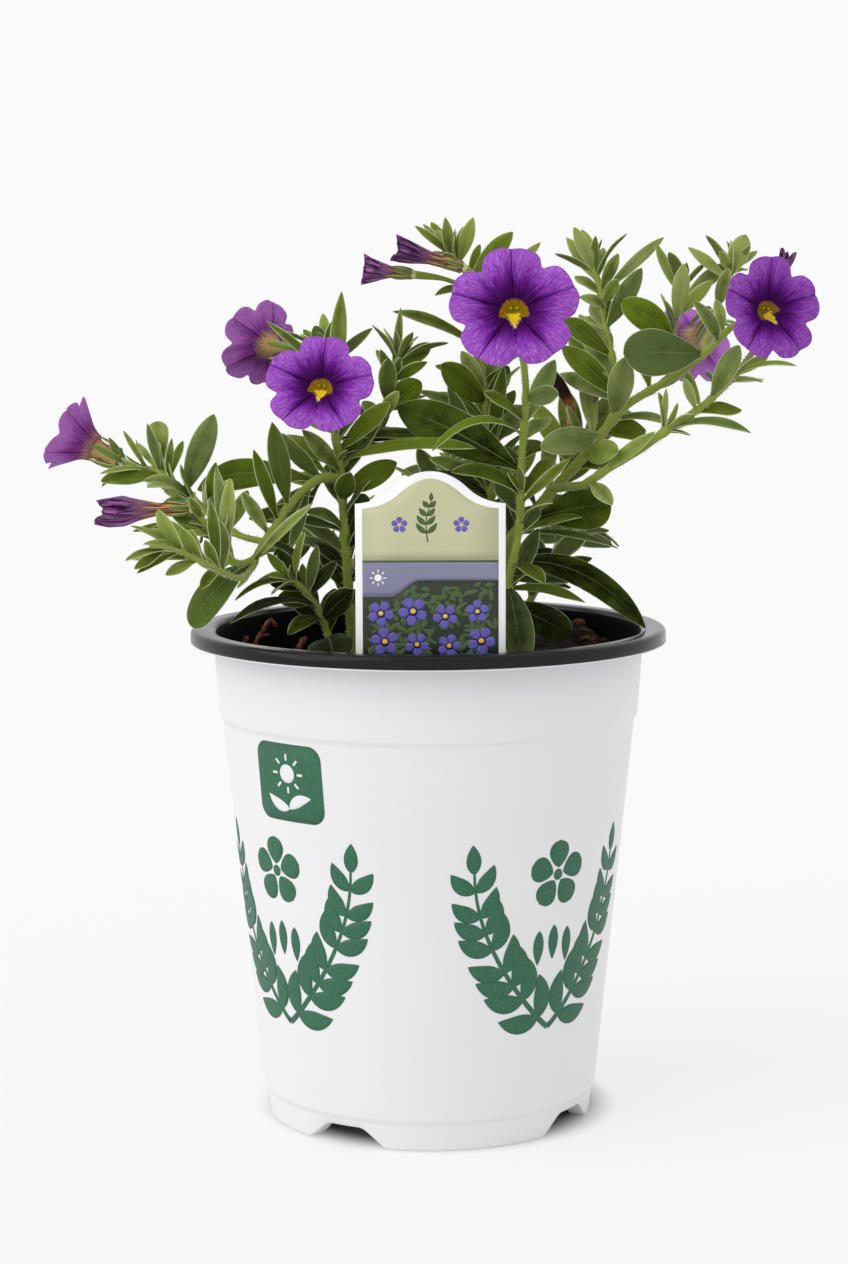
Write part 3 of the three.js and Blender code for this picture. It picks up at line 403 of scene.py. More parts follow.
# Each shoot: its radius at the foot and at the tip, and points along its middle.
SHOOTS = {
    "left_main": (1.25, 1, [
        (-18.5, -6, ROOT_Z), (-19.5, -8, 132), (-20.5, -9, 148), (-21.5, -10, 164),
        (-22.5, -13, 171), (-23.5, -15.5, 179)]),
    "left_top": (0.9, 0.6, [
        (-21.5, -10, 164), (-22.5, -4, 172.5), (-23.5, 2, 182), (-25, 5, 190.5)]),
    "centre_left": (1, 0.7, [
        (-21.5, -10, 162.5), (-15.5, -6, 167), (-12, -3, 173.5), (-8.5, 0, 182), (-7, 2, 189.5)]),
    "left_arch": (1.1, 0.9, [
        (-21.5, -10, 160), (-26.5, -14, 160), (-33.5, -20, 154), (-36.5, -24, 149.5),
        (-40, -28, 144.5), (-42, -30, 140.5)]),
    "left_upper": (0.9, 0.7, [
        (-39, -27, 146), (-45, -22, 147), (-50, -18, 149.5), (-55.5, -14, 154), (-60, -11, 156.5),
        (-65, -8, 161), (-70.5, -5, 162.4), (-75, -2, 163.2)]),
    "left_flower": (0.8, 0.6, [
        (-41, -29, 142.5), (-44.5, -33, 141.5), (-48, -37, 143.5), (-50.5, -39, 148),
        (-52.5, -40, 152), (-55, -40, 155)]),
    "left_lower": (0.8, 0.5, [
        (-41.5, -30, 140.5), (-44, -38, 138.5), (-48, -47, 141), (-51, -54, 143.5),
        (-55.5, -60, 146.5), (-59.5, -65, 148.5), (-62.5, -68, 149)]),
    "low_left": (0.9, 0.6, [
        (-22, -15, ROOT_Z), (-24, -17, 121), (-26.5, -19, 128.5), (-29.5, -22, 133.5),
        (-33, -25, 137)]),
    "front": (1.1, 0.9, [
        (17.5, -20, ROOT_Z), (19.5, -19, 135), (22, -17, 148), (22.5, -17, 161), (23, -18, 170.5),
        (23.5, -21, 180), (23, -24, 187), (21.5, -26, 195), (20.5, -28, 199)]),
    "centre_back": (1.1, 0.7, [
        (13, 10, ROOT_Z), (15.5, 12, 137.5), (16, 13, 159), (15, 14, 172.5), (14, 15, 184),
        (13, 15, 195), (11.5, 14, 205), (8.5, 12, 211), (5, 11, 214.5)]),
    "right_main": (1.75, 0.8, [
        (19.5, 6, ROOT_Z), (18.5, 5, 130.5), (20, 3, 142), (24, 0, 148), (31.5, -3, 157),
        (37.5, -6, 163.8), (42, -8, 169.7), (47.5, -11, 176.8), (59.5, -14, 184.5),
        (66.5, -16, 190), (72, -16.5, 195.5), (75.5, -17, 198)]),
    "right_upright": (0.9, 0.6, [
        (47, -11, 177.5), (46, -6, 184.5), (44.5, -1, 193), (43.5, 2, 198), (43, 4, 204.5),
        (41, 6, 210.5)]),
    "right_inner": (0.7, 0.5, [
        (58, -13.5, 184), (59.5, -6, 190), (61, 0, 196.5), (62.5, 4, 202.5), (63.5, 6, 206.5)]),
    "right_back": (0.7, 0.6, [
        (61.5, -14.5, 186), (65, -4, 191), (69.5, 4, 197), (71, 10, 199.5)]),
    "right_tip": (0.8, 0.5, [
        (66.5, -16, 190.5), (68.5, -8, 195), (71, -1, 200.5), (73.5, 4, 206), (75.5, 6, 210)]),
    "right_outer": (1.2, 0.7, [
        (30, -2, 156.5), (34, -9, 157.5), (38, -14, 158.5), (42.5, -18, 162), (51, -22, 167.5),
        (57, -23, 172), (66, -18, 177.5), (75.5, -6, 185), (82, 4, 192.5), (86, 9, 201),
        (87, 10, 204.5)]),
    "back_left": (1.2, 0.7, [
        (-10, 12, ROOT_Z), (-15, 22, 127), (-21, 34, 136), (-29, 46, 139), (-36, 58, 138)]),
    "back_centre": (1.2, 0.7, [
        (3, 14, ROOT_Z), (2, 24, 133), (3, 36, 148), (5, 48, 156), (6, 60, 159)]),
    "back_right": (1.2, 0.7, [
        (20, 15, ROOT_Z), (27, 26, 127), (33, 38, 137), (38, 50, 141), (42, 60, 141)]),
}
# Short side stems: radius, look and points.
TWIGS = {
    "left_top": [
        (0.6, "green", [(-24, 3, 185), (-28, 8, 188.5), (-32, 11, 190)]),
    ],
    "centre_back": [
        (0.6, "green", [(11.5, 14, 205), (4, 8, 208), (-3, 5, 209)]),
        (0.6, "green", [(12, 14, 204), (12.5, 7, 207.5), (9.5, 3, 210.5)]),
    ],
    "right_main": [
        (1.45, "dead", [
            (36, -5, 164.5), (36.2, -2.5, 170), (35.3, -1, 174.5), (34.6, 0, 178),
            (32.7, 1, 181.5), (30.7, 2, 184)]),
        (0.7, "brown", [(38, -6, 166.5), (40, 0, 173), (42.5, 4, 181)]),
    ],
}

UP = (0, -0.3, 1)
FRONT = (0, -1, 0.35)
BACK = (0, 0.5, 1)
LEFT_OVER = (-0.5, -0.8, 0.6)
RIGHT_OVER = (0.4, -0.8, 0.6)
# The leaves of each shoot: where on it they stand, as a share of its length, their tip, width,
# bow, and the way they face if it isn't FRONT. A leaf that is a node of its own adds its name,
# and mostly its shade from 0, deep green, to 1, pale, which for the low leaves holds painted
# shade as well as their own tone, and its hue. Some add how slowly they widen from their foot
# and narrow to their tip.
LEAVES = {
    "left_main": [
        (0.8, -9, -8, 178.5, 4.2, 1), (0.85, 12, 8, 165, 4.4, 3, UP, "left_main_long", 0.24, 0.2),
        (0.76, 11.5, -24, 168, 4.6, 3, UP), (0.64, -7.5, -14, 164, 5.2, 1),
        (0.62, -18.5, -21, 162, 4.4, 1), (0.72, -30, -23, 172.5, 3.6, 1),
        (0.5, -29.5, -16, 152, 3.4, 2, UP), (0.43, -10, -2, 149, 4, 2, UP),
        (0.36, -34, 4, 143.5, 3.6, 3, UP), (0.31, -9, 8, 138, 4.5, 2, UP),
        (0.2, -32, 6, 121, 5, 3, UP),
    ],
    "left_top": [
        (0.57, -21, 2, 205, 3.6, 1), (0.9, -28, 8, 196.5, 3.6, 1), (0.99, -26, 12, 199.5, 2.4, 1),
        (0.92, -31, 14, 195.5, 2.4, 1), (0.87, -13.5, 4, 196, 2.4, 1),
        (0.61, -33, 16, 177, 4, 2, UP), (0.77, -39.5, -2, 198, 2, 2),
    ],
    "centre_left": [
        (0.77, -6.5, 2, 201, 2, -1), (0.87, 1, 6, 192, 3.6, 1), (0.8, 0, -8, 188, 2.6, 1),
        (0.91, -4, 8, 194, 2.2, 1), (0.96, -7.5, 4, 195.5, 2, 0), (0.77, -11.5, -4, 191, 2.4, 1),
        (0.63, -9.5, -8, 189, 4, 1),
        (0.57, -1.5, -4, 183, 6, 1, FRONT, "centre_left_oval", 0.28, 0.5),
        (0.48, -7, -8, 181, 3, 1), (0.47, -16, 4, 178, 3, 1, UP), (0.27, -9, 12, 171, 4, 1, UP),
        (0.22, -9.5, 6, 177, 3.6, 1), (0.3, -3, 2, 170.5, 4, 1, UP),
    ],
    "left_arch": [
        (0.19, -57.5, 6, 156, 7.4, 6, LEFT_OVER, "left_arch_long", 0.4, 0.2),
        (0.49, -37, -26, 174.5, 4.8, 1, FRONT, "left_arch_tall", 0.5, -0.3),
        (0.63, -41.5, -26, 168, 3, 1), (0.09, -37.5, -4, 164.5, 3, 3, UP),
        (0.15, -37.5, -20, 141.5, 2.6, -2), (0.26, -33, -24, 144.5, 2.6, -2),
        (0.75, -44.5, -22, 157.5, 3, 1), (0.97, -27, -36, 156, 2.2, 3),
        (0.81, -31, -20, 141, 3.6, 1, UP),
        (0.97, -56.5, -30, 126, 8, 3, LEFT_OVER, "left_rim", 0.46, -0.4, 1, 0.5),
    ],
    "left_upper": [
        (0.58, -52, -8, 175.5, 5.8, 1, FRONT, "left_upper_tall", 0.66, -0.7),
        (0.75, -66.5, -2, 173.5, 4.8, 1, FRONT, "left_upper_slim", 0.72, 0.2, 1.3, 0.4),
        (0.76, -68, -12, 173.5, 2.2, 1), (0.85, -74.5, -6, 171.5, 1.4, 1),
        (0.71, -62, -13, 170, 1.8, 1), (0.7, -60.5, 2, 168.5, 2, 1), (0.77, -72, 2, 168, 1.6, 1),
        (0.73, -79.5, -12, 159.5, 5, 1, UP), (0.81, -79.5, -14, 161.5, 1.6, 1, UP),
        (0.53, -68.5, -18, 160, 3.4, 2, UP), (0.42, -51, -18, 164.5, 2.8, 1),
        (0.38, -47, -20, 160.5, 3.4, 1), (0.24, -43.5, -16, 157.5, 3, 1),
        (0.62, -66.5, -30, 159.5, 3.6, 1, UP), (0.5, -62.5, -34, 155.5, 3.4, 1, UP),
        (0.28, -52, -22, 156.5, 4, 1), (0.21, -54.5, 0, 139, 4.5, 2, UP),
    ],
    "left_flower": [
        (0.8, -60.5, -36, 154, 4, 1, UP), (0.7, -64.5, -44, 151, 2.4, 1, UP),
        (0.65, -69, -42, 150, 2.6, 2, UP), (0.57, -52.5, -30, 152, 3, 1),
        (0.3, -51.5, -30, 150, 3.6, 1), (0.89, -55.5, -44, 158, 2.2, 1),
        (0.34, -54, -34, 135.5, 3, 1, UP), (0.45, -46.5, -36, 162, 3.4, 0.5),
        (0.35, -49.8, -35, 164.5, 3, 0.5),
    ],
    "left_lower": [
        (0.62, -67, -66, 153.5, 2.6, 1, UP), (0.7, -64, -68, 149.5, 2.6, 1.5, UP),
        (0.66, -67.5, -62, 145.5, 3.2, 1, UP), (0.86, -68, -70, 146, 2.4, 1, UP),
        (0.8, -66, -64, 142.5, 2, 0.5, UP), (0.4, -49, -42, 152.5, 4, 0.5),
        (0.44, -50.5, -46, 157.5, 2.6, 0.5), (0.55, -59.5, -52, 153.5, 2.4, 1),
    ],
    "low_left": [
        (0.84, -36.5, -18, 143.5, 3, 1), (0.77, -26.5, -24, 145, 2.6, 1),
        (0.96, -42, -14, 135, 4, 1, UP), (0.91, -46, -32, 132.5, 2, 3, UP),
        (0.6, -47, -36, 127.5, 3.2, 4, UP), (0.49, -33.5, -30, 124, 3.4, 2, UP),
        (0.32, -22, -37, 118, 10.4, 2, FRONT, "low_left_broad", 0.06, -0.2),
        (0.49, -18, -28, 134.5, 5, 1),
    ],
    "front": [
        (0.76, 31, -28, 181, 4.5, 1, FRONT, "front_right", 0.62, -0.9),
        (0.66, 1, -26, 167.5, 2.8, 6, UP), (0.49, 5.5, -27, 162.5, 4.4, 3, UP),
        (0.69, 31, -10, 188.5, 4.4, 1),
        (0.56, -7.5, -4, 177, 10.4, 4, FRONT, "front_broad", 0.22, 0),
        (0.47, 34, -24, 165.5, 2.4, 1), (0.41, 29.5, -32, 155.5, 3.2, 2, UP),
        (0.3, 27.5, -34, 136.5, 4, 2, UP), (0.22, 27, -10, 147.5, 4, 1),
        (0.24, 22, -40, 119, 7.4, 3, FRONT, "front_low", 0.12, -0.8, 0.8, 0.4),
    ],
    "centre_back": [
        (0.61, 3.5, 6, 187, 6.6, 1, FRONT, "centre_back_oval", 0.26, 0.6),
        (0.64, 8.5, 12, 190, 3.6, 1), (0.4, 5, 8, 182, 4, 1), (0.5, 19, 6, 186.5, 3.4, 1),
        (0.6, 20.5, 20, 186, 4.2, 1), (0.52, 26, 16, 176, 4.6, 1), (0.46, 4, 6, 172, 4.6, 1),
        (0.4, 27, 8, 166, 5, 1), (0.57, -2.5, 16, 180, 3.4, 1, UP),
        (0.74, -8.5, 6, 200, 3.4, 2, UP), (0.89, 2, 4, 204, 2.6, 1, UP),
        (0.91, 21.5, 16, 219.5, 4.2, 1), (0.96, 11.5, 8, 223, 3.2, 1),
        (0.92, 13.5, 22, 216.5, 2, 1), (0.99, -3, 6, 221, 1.8, 1), (0.99, 1, 16, 222, 2.4, 1),
        (0.99, 4.5, 4, 223, 2.4, 1), (0.99, -1, 14, 221.5, 1.6, 1), (0.83, 29, 28, 217, 3, 2),
        (0.8, 31.5, 34, 202, 4.5, 2, UP), (0.54, 29, 34, 174, 5, 2, UP),
        (0.4, 0.5, 34, 162, 5, 2, UP), (0.25, 29, 34, 147, 6, 2, UP, "centre_back_low", 0.1, 0.3),
    ],
    "right_main": [
        (0.6, 27, -22, 168, 6.4, 1, FRONT, "right_main_pale", 0.8, -0.9),
        (0.54, 45.5, -24, 167, 5.5, 1),
        (0.34, 44.5, -13, 154, 10.6, 1.5, FRONT, "right_main_dark", 0.24, 0.2, 1.4, 0.42),
        (0.3, 47.5, 6, 141, 2.6, 2, UP), (0.28, 37.5, -13, 150.5, 4.6, 2, UP),
        (0.5, 26, 6, 178, 4.6, 1), (0.52, 34, 12, 181, 5, 1), (0.56, 46, 10, 180, 4.6, 1),
        (0.58, 39, 12, 184, 3.6, 1), (0.66, 52, 6, 174, 3.6, 1, UP),
        (0.46, 47, 12, 172, 4, 1, UP),
        (0.22, 53.5, -8, 122.5, 6.8, 9, RIGHT_OVER, "right_rim", 0.1, 0.1),
        (0.18, 34, -14, 134.5, 3.2, 1, UP),
        (0.13, 35.5, 2, 119.5, 7.5, 3, FRONT, "right_low_dark", 0.06, -0.2, 0.9, 0.42),
        (0.16, 40, 18, 126, 3.8, 2, UP, "right_low_olive", 0.5, 0.4),
        (0.89, 46.5, -26, 190.5, 10.6, 1, FRONT, "right_broad", 0.4, -0.8, 0.95, 0.5),
        (0.65, 47.5, -20, 189.5, 5.5, 1), (0.42, 30, 10, 168, 3.4, 1),
        (0.36, 41, 12, 147.5, 5, 2, UP), (0.64, 61, 0, 172, 3.4, 2, UP),
        (0.75, 52, 0, 191.5, 3, 1), (0.84, 67, -2, 177, 3, -1), (0.93, 63, -24, 203, 3, 3),
        (0.95, 70, -10, 203, 2.6, 1),
    ],
    "right_upright": [
        (0.04, 33, -2, 191.5, 5.4, 2, FRONT, "right_upright_low", 0.34, 0.4),
        (0.36, 33.5, 4, 198, 4.8, 2, FRONT, "right_upright_mid", 0.3, 0.3),
        (0.57, 52.5, -2, 210.5, 4.6, 1, FRONT, "right_upright_tall", 0.6, -0.7),
        (0.72, 37, -4, 203.5, 2.6, 2), (0.56, 40.5, 8, 201.5, 3, 1), (0.81, 59, 12, 218, 2.6, 2),
        (0.84, 47, 2, 214, 2.8, 1), (0.92, 44, 12, 215.5, 2.4, 1), (0.97, 36, 2, 220.5, 3.2, 1),
        (0.93, 38.5, 12, 220, 3.2, 1), (0.88, 34.5, 8, 218, 3, 1),
        (0.76, 46.5, -4, 207.5, 3.2, 0), (0.38, 42.5, 20, 196.5, 4, 1, UP),
        (0.12, 38, 14, 199, 5, 1), (0.03, 35.5, 18, 193.5, 5, 1),
        (0.13, 40, 12, 187.5, 3.4, 1, UP), (0.02, 33, 8, 184.5, 3.8, 1),
    ],
    "right_inner": [
        (0.48, 47.5, -4, 202.5, 6.8, 2, FRONT, "right_inner_dark", 0.26, 0.9, 0.8, 0.55),
        (0.64, 62.5, -4, 211.5, 3.8, 1), (0.7, 69.5, -6, 207.5, 3, 1),
        (0.89, 56.5, 6, 216.5, 2.4, -1), (0.82, 75, 10, 211.5, 3.4, 2),
        (0.98, 61, 14, 212.5, 2.2, 0), (0.41, 58, 10, 198, 3.6, 1, UP),
    ],
    "right_tip": [
        (0.93, 78.5, 4, 218.5, 4.6, 1), (0.9, 64, 2, 215.5, 2.6, 1), (0.99, 71, 10, 216, 1.6, 0),
        (0.97, 71.5, -2, 214.5, 2.2, 0), (0.99, 82, 10, 214.5, 1.8, 1),
        (0.61, 73, -8, 210.5, 3.2, 1), (0.46, 79, 14, 193.5, 3.4, 1, UP),
    ],
    "right_outer": [
        (0.41, 76, -34, 172, 3.2, 3, UP, "right_outer_long", 0.66, -0.5),
        (0.21, 54, -28, 172, 2.8, 1), (0.57, 75, -16, 192, 4.6, 1),
        (0.69, 89, -14, 187, 2, 2, UP), (0.67, 83.5, 6, 183, 1.8, 0, UP),
        (0.51, 61, -24, 184.5, 2.2, 0), (0.17, 44, -26, 154.5, 3.4, 1),
        (0.4, 57, -22, 182, 1.6, 0),
    ],
    "back_left": [
        (0.35, -7, 20, 147, 5, 2, BACK), (0.5, -34, 28, 147, 5.5, 2, BACK),
        (0.62, -14, 52, 151, 5, 2, BACK, "back_left_broad"), (0.75, -44, 44, 145, 4.5, 2, BACK),
        (0.88, -28, 68, 140, 4.5, 2, BACK), (0.97, -42, 62, 147, 3, 1, BACK),
        (1, -46, 66, 133, 4, 2, BACK),
    ],
    "back_centre": [
        (0.35, -14, 28, 139, 5.5, 2, BACK), (0.48, 18, 34, 151, 5.5, 2, BACK),
        (0.6, -10, 50, 159, 5, 2, BACK), (0.74, 20, 58, 157, 6, 2, BACK, "back_centre_broad"),
        (0.86, -7, 68, 155, 4.5, 2, BACK), (0.96, 12, 70, 159, 3.5, 2, BACK),
        (1, 3, 71, 165, 3, 1, BACK),
    ],
    "back_right": [
        (0.35, 42, 22, 137, 5, 2, BACK), (0.5, 21, 42, 149, 5.5, 2, BACK),
        (0.64, 47, 34, 143, 5.5, 2, BACK, "back_right_broad"), (0.76, 27, 60, 147, 4.5, 2, BACK),
        (0.88, 51, 52, 137, 4.5, 2, BACK), (0.97, 36, 71, 139, 4, 2, BACK),
        (1, 47, 68, 145, 3, 1, BACK),
    ],
}
# Plainer leaves that fill a shoot out: how many, from which share of it to which, length.
FILLERS = {
    "left_main": (15, 0.2, 0.9, 15), "centre_left": (3, 0.3, 0.8, 11),
    "left_arch": (4, 0.1, 0.5, 13), "left_upper": (3, 0.2, 0.5, 11),
    "left_flower": (3, 0.5, 0.9, 10), "left_lower": (2, 0.7, 0.95, 11),
    "low_left": (7, 0.3, 0.85, 13), "front": (7, 0.36, 0.72, 13),
    "centre_back": (22, 0.32, 0.7, 17), "right_main": (16, 0.1, 0.62, 15),
    "right_upright": (2, 0.5, 0.9, 9), "right_inner": (1, 0.3, 0.5, 11),
    "right_outer": (3, 0.35, 0.65, 11), "back_left": (8, 0.25, 0.85, 14),
    "back_centre": (8, 0.25, 0.85, 14), "back_right": (8, 0.25, 0.85, 14),
}
# How many young leaves stand at the tip of a shoot, and the longest of them.
ROSETTES = {
    "left_top": (7, 11), "centre_left": (8, 12), "left_upper": (7, 10), "left_flower": (4, 7),
    "low_left": (6, 11), "centre_back": (9, 10), "right_upright": (8, 13), "right_inner": (6, 10),
    "right_tip": (6, 10), "right_outer": (5, 6), "back_left": (9, 11), "back_centre": (9, 11),
    "back_right": (9, 11),
}
# The share of a shoot's leaves that have young ones in their angle, and where it differs.
YOUNG_SHARE = 0.4
OPEN_SHOOTS = {
    "right_upright": 0.25, "right_inner": 0.3, "right_tip": 0.3, "left_lower": 0.2,
    "low_left": 0.25, "right_main": 0.2, "back_left": 1, "back_centre": 1, "back_right": 1,
}
# Where a stem turns brown and woody, as shares of its length.
BROWN = {"right_inner": (0.3, 0.8), "right_back": (0, 0.3), "right_outer": (0.55, 0.9)}

# limb is the middle of a flower's face, and twig the side stem that it stands on. tall and tube
# scale its height and its tube, cone is how far it is a plain funnel and deep how deep that is,
# lip turns its throat, and dark darkens it.
FLOWERS = [
    {"name": "flower_front", "shoot": "front", "limb": (20, -42, 201.5), "radius": 15.3,
     "turn": 3, "tall": 0.92},
    {"name": "flower_left", "shoot": "left_main", "limb": (-25.5, -32, 183.5), "radius": 13,
     "turn": -6, "tall": 0.9},
    {"name": "flower_right", "shoot": "right_main", "limb": (81, -31, 201), "radius": 12.4,
     "turn": -3, "lip": 28, "dark": 0.38},
    {"name": "flower_left_back", "shoot": "left_top", "twig": 0, "limb": (-42.5, 20, 192),
     "radius": 13.2, "turn": 20, "tall": 0.82, "cone": 0.35},
    {"name": "flower_far_left", "shoot": "left_upper", "limb": (-89.2, 1, 170.4), "radius": 10,
     "turn": 24, "cone": 0.92, "deep": 10.0, "tube": 1.8, "dark": 0.2},
    {"name": "flower_right_back", "shoot": "right_back", "limb": (66.5, 22, 191),
     "radius": 11.5, "turn": 0, "cone": 0.3, "dark": -0.12},
]
# look: how far it is open, its slimmest share, its corners, how deep the notches between them
# are, how ragged it is and how dark.
BUDS = [
    {"name": "bud_left", "shoot": "left_flower", "tip": (-76.5, -43, 155), "radius": 3.6,
     "look": (0.3, 0.4, 2, 0.5, 0.6, 0.45)},
    {"name": "bud_top_left", "shoot": "centre_back", "twig": 0, "tip": (-15.5, 3, 210.5),
     "radius": 3.2, "look": (1.0, 0.42, 2, 0.15, 0.1, 0.1)},
    {"name": "bud_top_dark", "shoot": "centre_back", "twig": 1, "tip": (-7.5, 0, 215.5),
     "radius": 3, "look": (0.8, 0.52, 2, 0.5, 0.3, 0.7)},
    {"name": "bud_right", "shoot": "right_outer", "tip": (89.5, 11, 213.5), "radius": 2.4,
     "look": (0.7, 0.4, 3, 0.9, 0.4, 0.5)},
]


# ---------------- curves

CURVE_STEPS = 14            # points from each given point of a curve to the next


def unit(vectors):
    return vectors / np.linalg.norm(vectors, axis=-1, keepdims=True)


def cross_to(along, wanted):
    """wanted, turned square to along."""
    return unit(wanted - along * np.sum(along * wanted, axis=-1, keepdims=True))


def upright(axis):
    """A direction square to axis, as near to straight up as can be."""
    return cross_to(axis, np.array((0, 0, 1.0) if abs(axis[2]) < 0.9 else (0, 1.0, 0)))


def around(way, spin, side=None):
    """The direction out from a line, at a turn round it."""
    side = upright(way) if side is None else side
    return side * math.cos(spin) + np.cross(way, side) * math.sin(spin)


def circle(count):
    return np.arange(count) * TURN / count


def smoothstep(low, high, value):
    share = np.clip((value - low) / (high - low), 0, 1)
    return share * share * (3 - 2 * share)


def bezier(start, middle, end, count):
    t = np.linspace(0, 1, count)[:, None]
    start, middle, end = (np.asarray(point, float) for point in (start, middle, end))
    return (1 - t) ** 2 * start + 2 * t * (1 - t) * middle + t ** 2 * end


def grid(down, across):
    """Every value of down with every value of across."""
    return np.stack(np.meshgrid(down, across, indexing="ij"), -1)


class Line:
    """A curve given by close points, read by the share of its length."""

    def __init__(self, places):
        self.places = np.asarray(places, float)
        steps = np.linalg.norm(np.diff(self.places, axis=0), axis=1)
        self.lengths = np.concatenate([[0], np.cumsum(steps)])
        self.length = self.lengths[-1]

    def at(self, share):
        reach = np.asarray(share) * self.length
        return np.stack([np.interp(reach, self.lengths, axis) for axis in self.places.T], -1)

    def along(self, share):
        share = np.asarray(share)
        return unit(self.at(np.minimum(1, share + 0.02)) - self.at(np.maximum(0, share - 0.02)))


def smooth_line(points):
    """A centripetal Catmull-Rom curve through the points."""
    held = np.asarray(points, float)
    held = np.concatenate([[2 * held[0] - held[1]], held, [2 * held[-1] - held[-2]]])
    places = []
    for p0, p1, p2, p3 in zip(held, held[1:], held[2:], held[3:]):
        first, second, third = (math.sqrt(np.linalg.norm(b - a))
                                for a, b in ((p0, p1), (p1, p2), (p2, p3)))
        leave = ((p1 - p0) / first - (p2 - p0) / (first + second)) * second + (p2 - p1)
        arrive = ((p3 - p2) / third - (p3 - p1) / (second + third)) * second + (p2 - p1)
        t = np.linspace(0, 1, CURVE_STEPS, endpoint=False)[:, None]
        places.append(p1 + leave * t + (3 * (p2 - p1) - 2 * leave - arrive) * t ** 2
                      + (2 * (p1 - p2) + leave + arrive) * t ** 3)
    return Line(np.concatenate([*places, held[-2:-1]]))


def bowed_line(base, tip, bow, face):
    """From base to tip, bowed towards face in the middle."""
    base, tip = np.asarray(base, float), np.asarray(tip, float)
    upper = cross_to(unit(tip - base), np.asarray(face, float))
    return Line(bezier(base, (base + tip) / 2 + upper * 2 * bow, tip, 24))


def swirl(x, y, z=0.0):
    """Smooth chance between -1 and 1."""
    return noise.noise(Vector((x, y, z)))


# ---------------- meshes

class Build:
    """Collects closed lofts in millimetres and makes one smooth object of them."""

    def __init__(self):
        self.points, self.tones, self.faces, self.uvs = [], [], [], []
        self.looks, self.materials, self.count = [], [], 0

    def look(self, material):
        if material not in self.materials:
            self.materials.append(material)
        return self.materials.index(material)

    def loft(self, rings, material, tone=(0, 0, 0), uv=None, last_look=None, last_from=None):
        """Joins closed rings with faces, and closes both ends. uv has one value per point,
        or one more on each ring where it doesn't meet itself. Faces from ring last_from on
        take the material last_look."""
        rings = np.asarray(rings, float)
        steps, sides = rings.shape[:2]
        index = self.count + np.arange(steps * sides).reshape(steps, sides)
        after = np.roll(index, -1, axis=1)
        quads = np.stack([index[:-1], after[:-1], after[1:], index[1:]], -1).reshape(-1, 4)
        if uv is None:
            uv = np.zeros((steps, sides, 2))
        if uv.shape[1] == sides:
            uv = np.concatenate([uv, uv[:, :1]], axis=1)
        corners = np.stack([uv[:-1, :-1], uv[:-1, 1:], uv[1:, 1:], uv[1:, :-1]], 2)
        corners = corners.reshape(-1, 4, 2)
        caps = [index[0][::-1], index[-1]]
        cap_uvs = [uv[0, :-1][::-1], uv[-1, :-1]]
        if self.volume(rings) < 0:
            quads, corners = quads[:, ::-1], corners[:, ::-1]
            caps, cap_uvs = ([end[::-1] for end in ends] for ends in (caps, cap_uvs))
        self.faces += quads.tolist() + [cap.tolist() for cap in caps]
        self.uvs += [corners.reshape(-1, 2), *cap_uvs]
        look = np.full(len(quads) + 2, self.look(material))
        if last_look is not None:
            look[last_from * sides:-2] = look[-1] = self.look(last_look)
        self.looks.append(look)
        self.points.append(rings.reshape(-1, 3))
        self.tones.append(np.broadcast_to(tone, (steps, sides, 3)).reshape(-1, 3))
        self.count += steps * sides

    @staticmethod
    def volume(rings):
        """Six times the volume inside the rings and their flat ends."""
        rings = rings - rings.mean(axis=(0, 1))
        after = np.roll(rings, -1, axis=1)
        a, b, c, d = rings[:-1], after[:-1], after[1:], rings[1:]
        total = np.sum(a * np.cross(b, c)) + np.sum(a * np.cross(c, d))
        total += np.sum(rings[0].mean(axis=0) * np.cross(after[0], rings[0]))
        return total + np.sum(rings[-1].mean(axis=0) * np.cross(rings[-1], after[-1]))

    def finish(self, name, slot, *nodes):
        """Makes the object, which rides on the pot's body in place of the CAD nodes."""
        mesh = bpy.data.meshes.new(name)
        mesh.from_pydata((np.concatenate(self.points) * MM).tolist(), [], self.faces)
        layer = mesh.uv_layers.new(name="surface")
        layer.data.foreach_set("uv", np.concatenate(self.uvs).ravel())
        tones = np.concatenate(self.tones)
        tones = np.concatenate([tones, np.ones((len(tones), 1))], axis=1)
        attribute = mesh.attributes.new("tone", "FLOAT_COLOR", "POINT")
        attribute.data.foreach_set("color", tones.ravel())
        for material in self.materials:
            mesh.materials.append(material)
        mesh.polygons.foreach_set("material_index", np.concatenate(self.looks))
        mesh.polygons.foreach_set("use_smooth", [True] * len(mesh.polygons))
        mesh.update()
        piece = link(name, mesh)
        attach(piece, "root")
        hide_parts(*nodes)
        return piece


def add_tube(build, line, radii, sides, material, tone, level=None):
    """A round tube along a line. radii are spread evenly over it. A level cuts its foot."""
    shares = np.linspace(0, 1, len(radii))
    across, rings = upright(line.along(0.0)), []
    for centre, way, radius in zip(line.at(shares), line.along(shares), radii):
        across = cross_to(way, across)
        rings.append(centre + radius * (np.outer(np.cos(circle(sides)), across)
                                        + np.outer(np.sin(circle(sides)), np.cross(way, across))))
    if level is not None:
        rings[0][:, 2] = level
    build.loft(rings, material, tone)


def add_blob(build, centre, size, material, tone, lumps, sides, turn=None):
    """A rounded lump. size holds its three half-sizes."""
    tilt, spin = np.linspace(0.06, math.pi - 0.06, 6), circle(sides)
    ball = np.stack([np.outer(np.sin(tilt), np.cos(spin)), np.outer(np.sin(tilt), np.sin(spin)),
                     np.outer(np.cos(tilt), np.ones(sides))], -1)
    if lumps:
        seed = rng.random() * 50
        for point in ball.reshape(-1, 3):
            point *= 1 + lumps * swirl(*(point * 1.6 + seed))
    ball = ball * np.asarray(size)
    if turn is not None:
        ball = ball @ np.array(turn.to_matrix()).T
    build.loft(ball + np.asarray(centre), material, tone)


# ---------------- pot

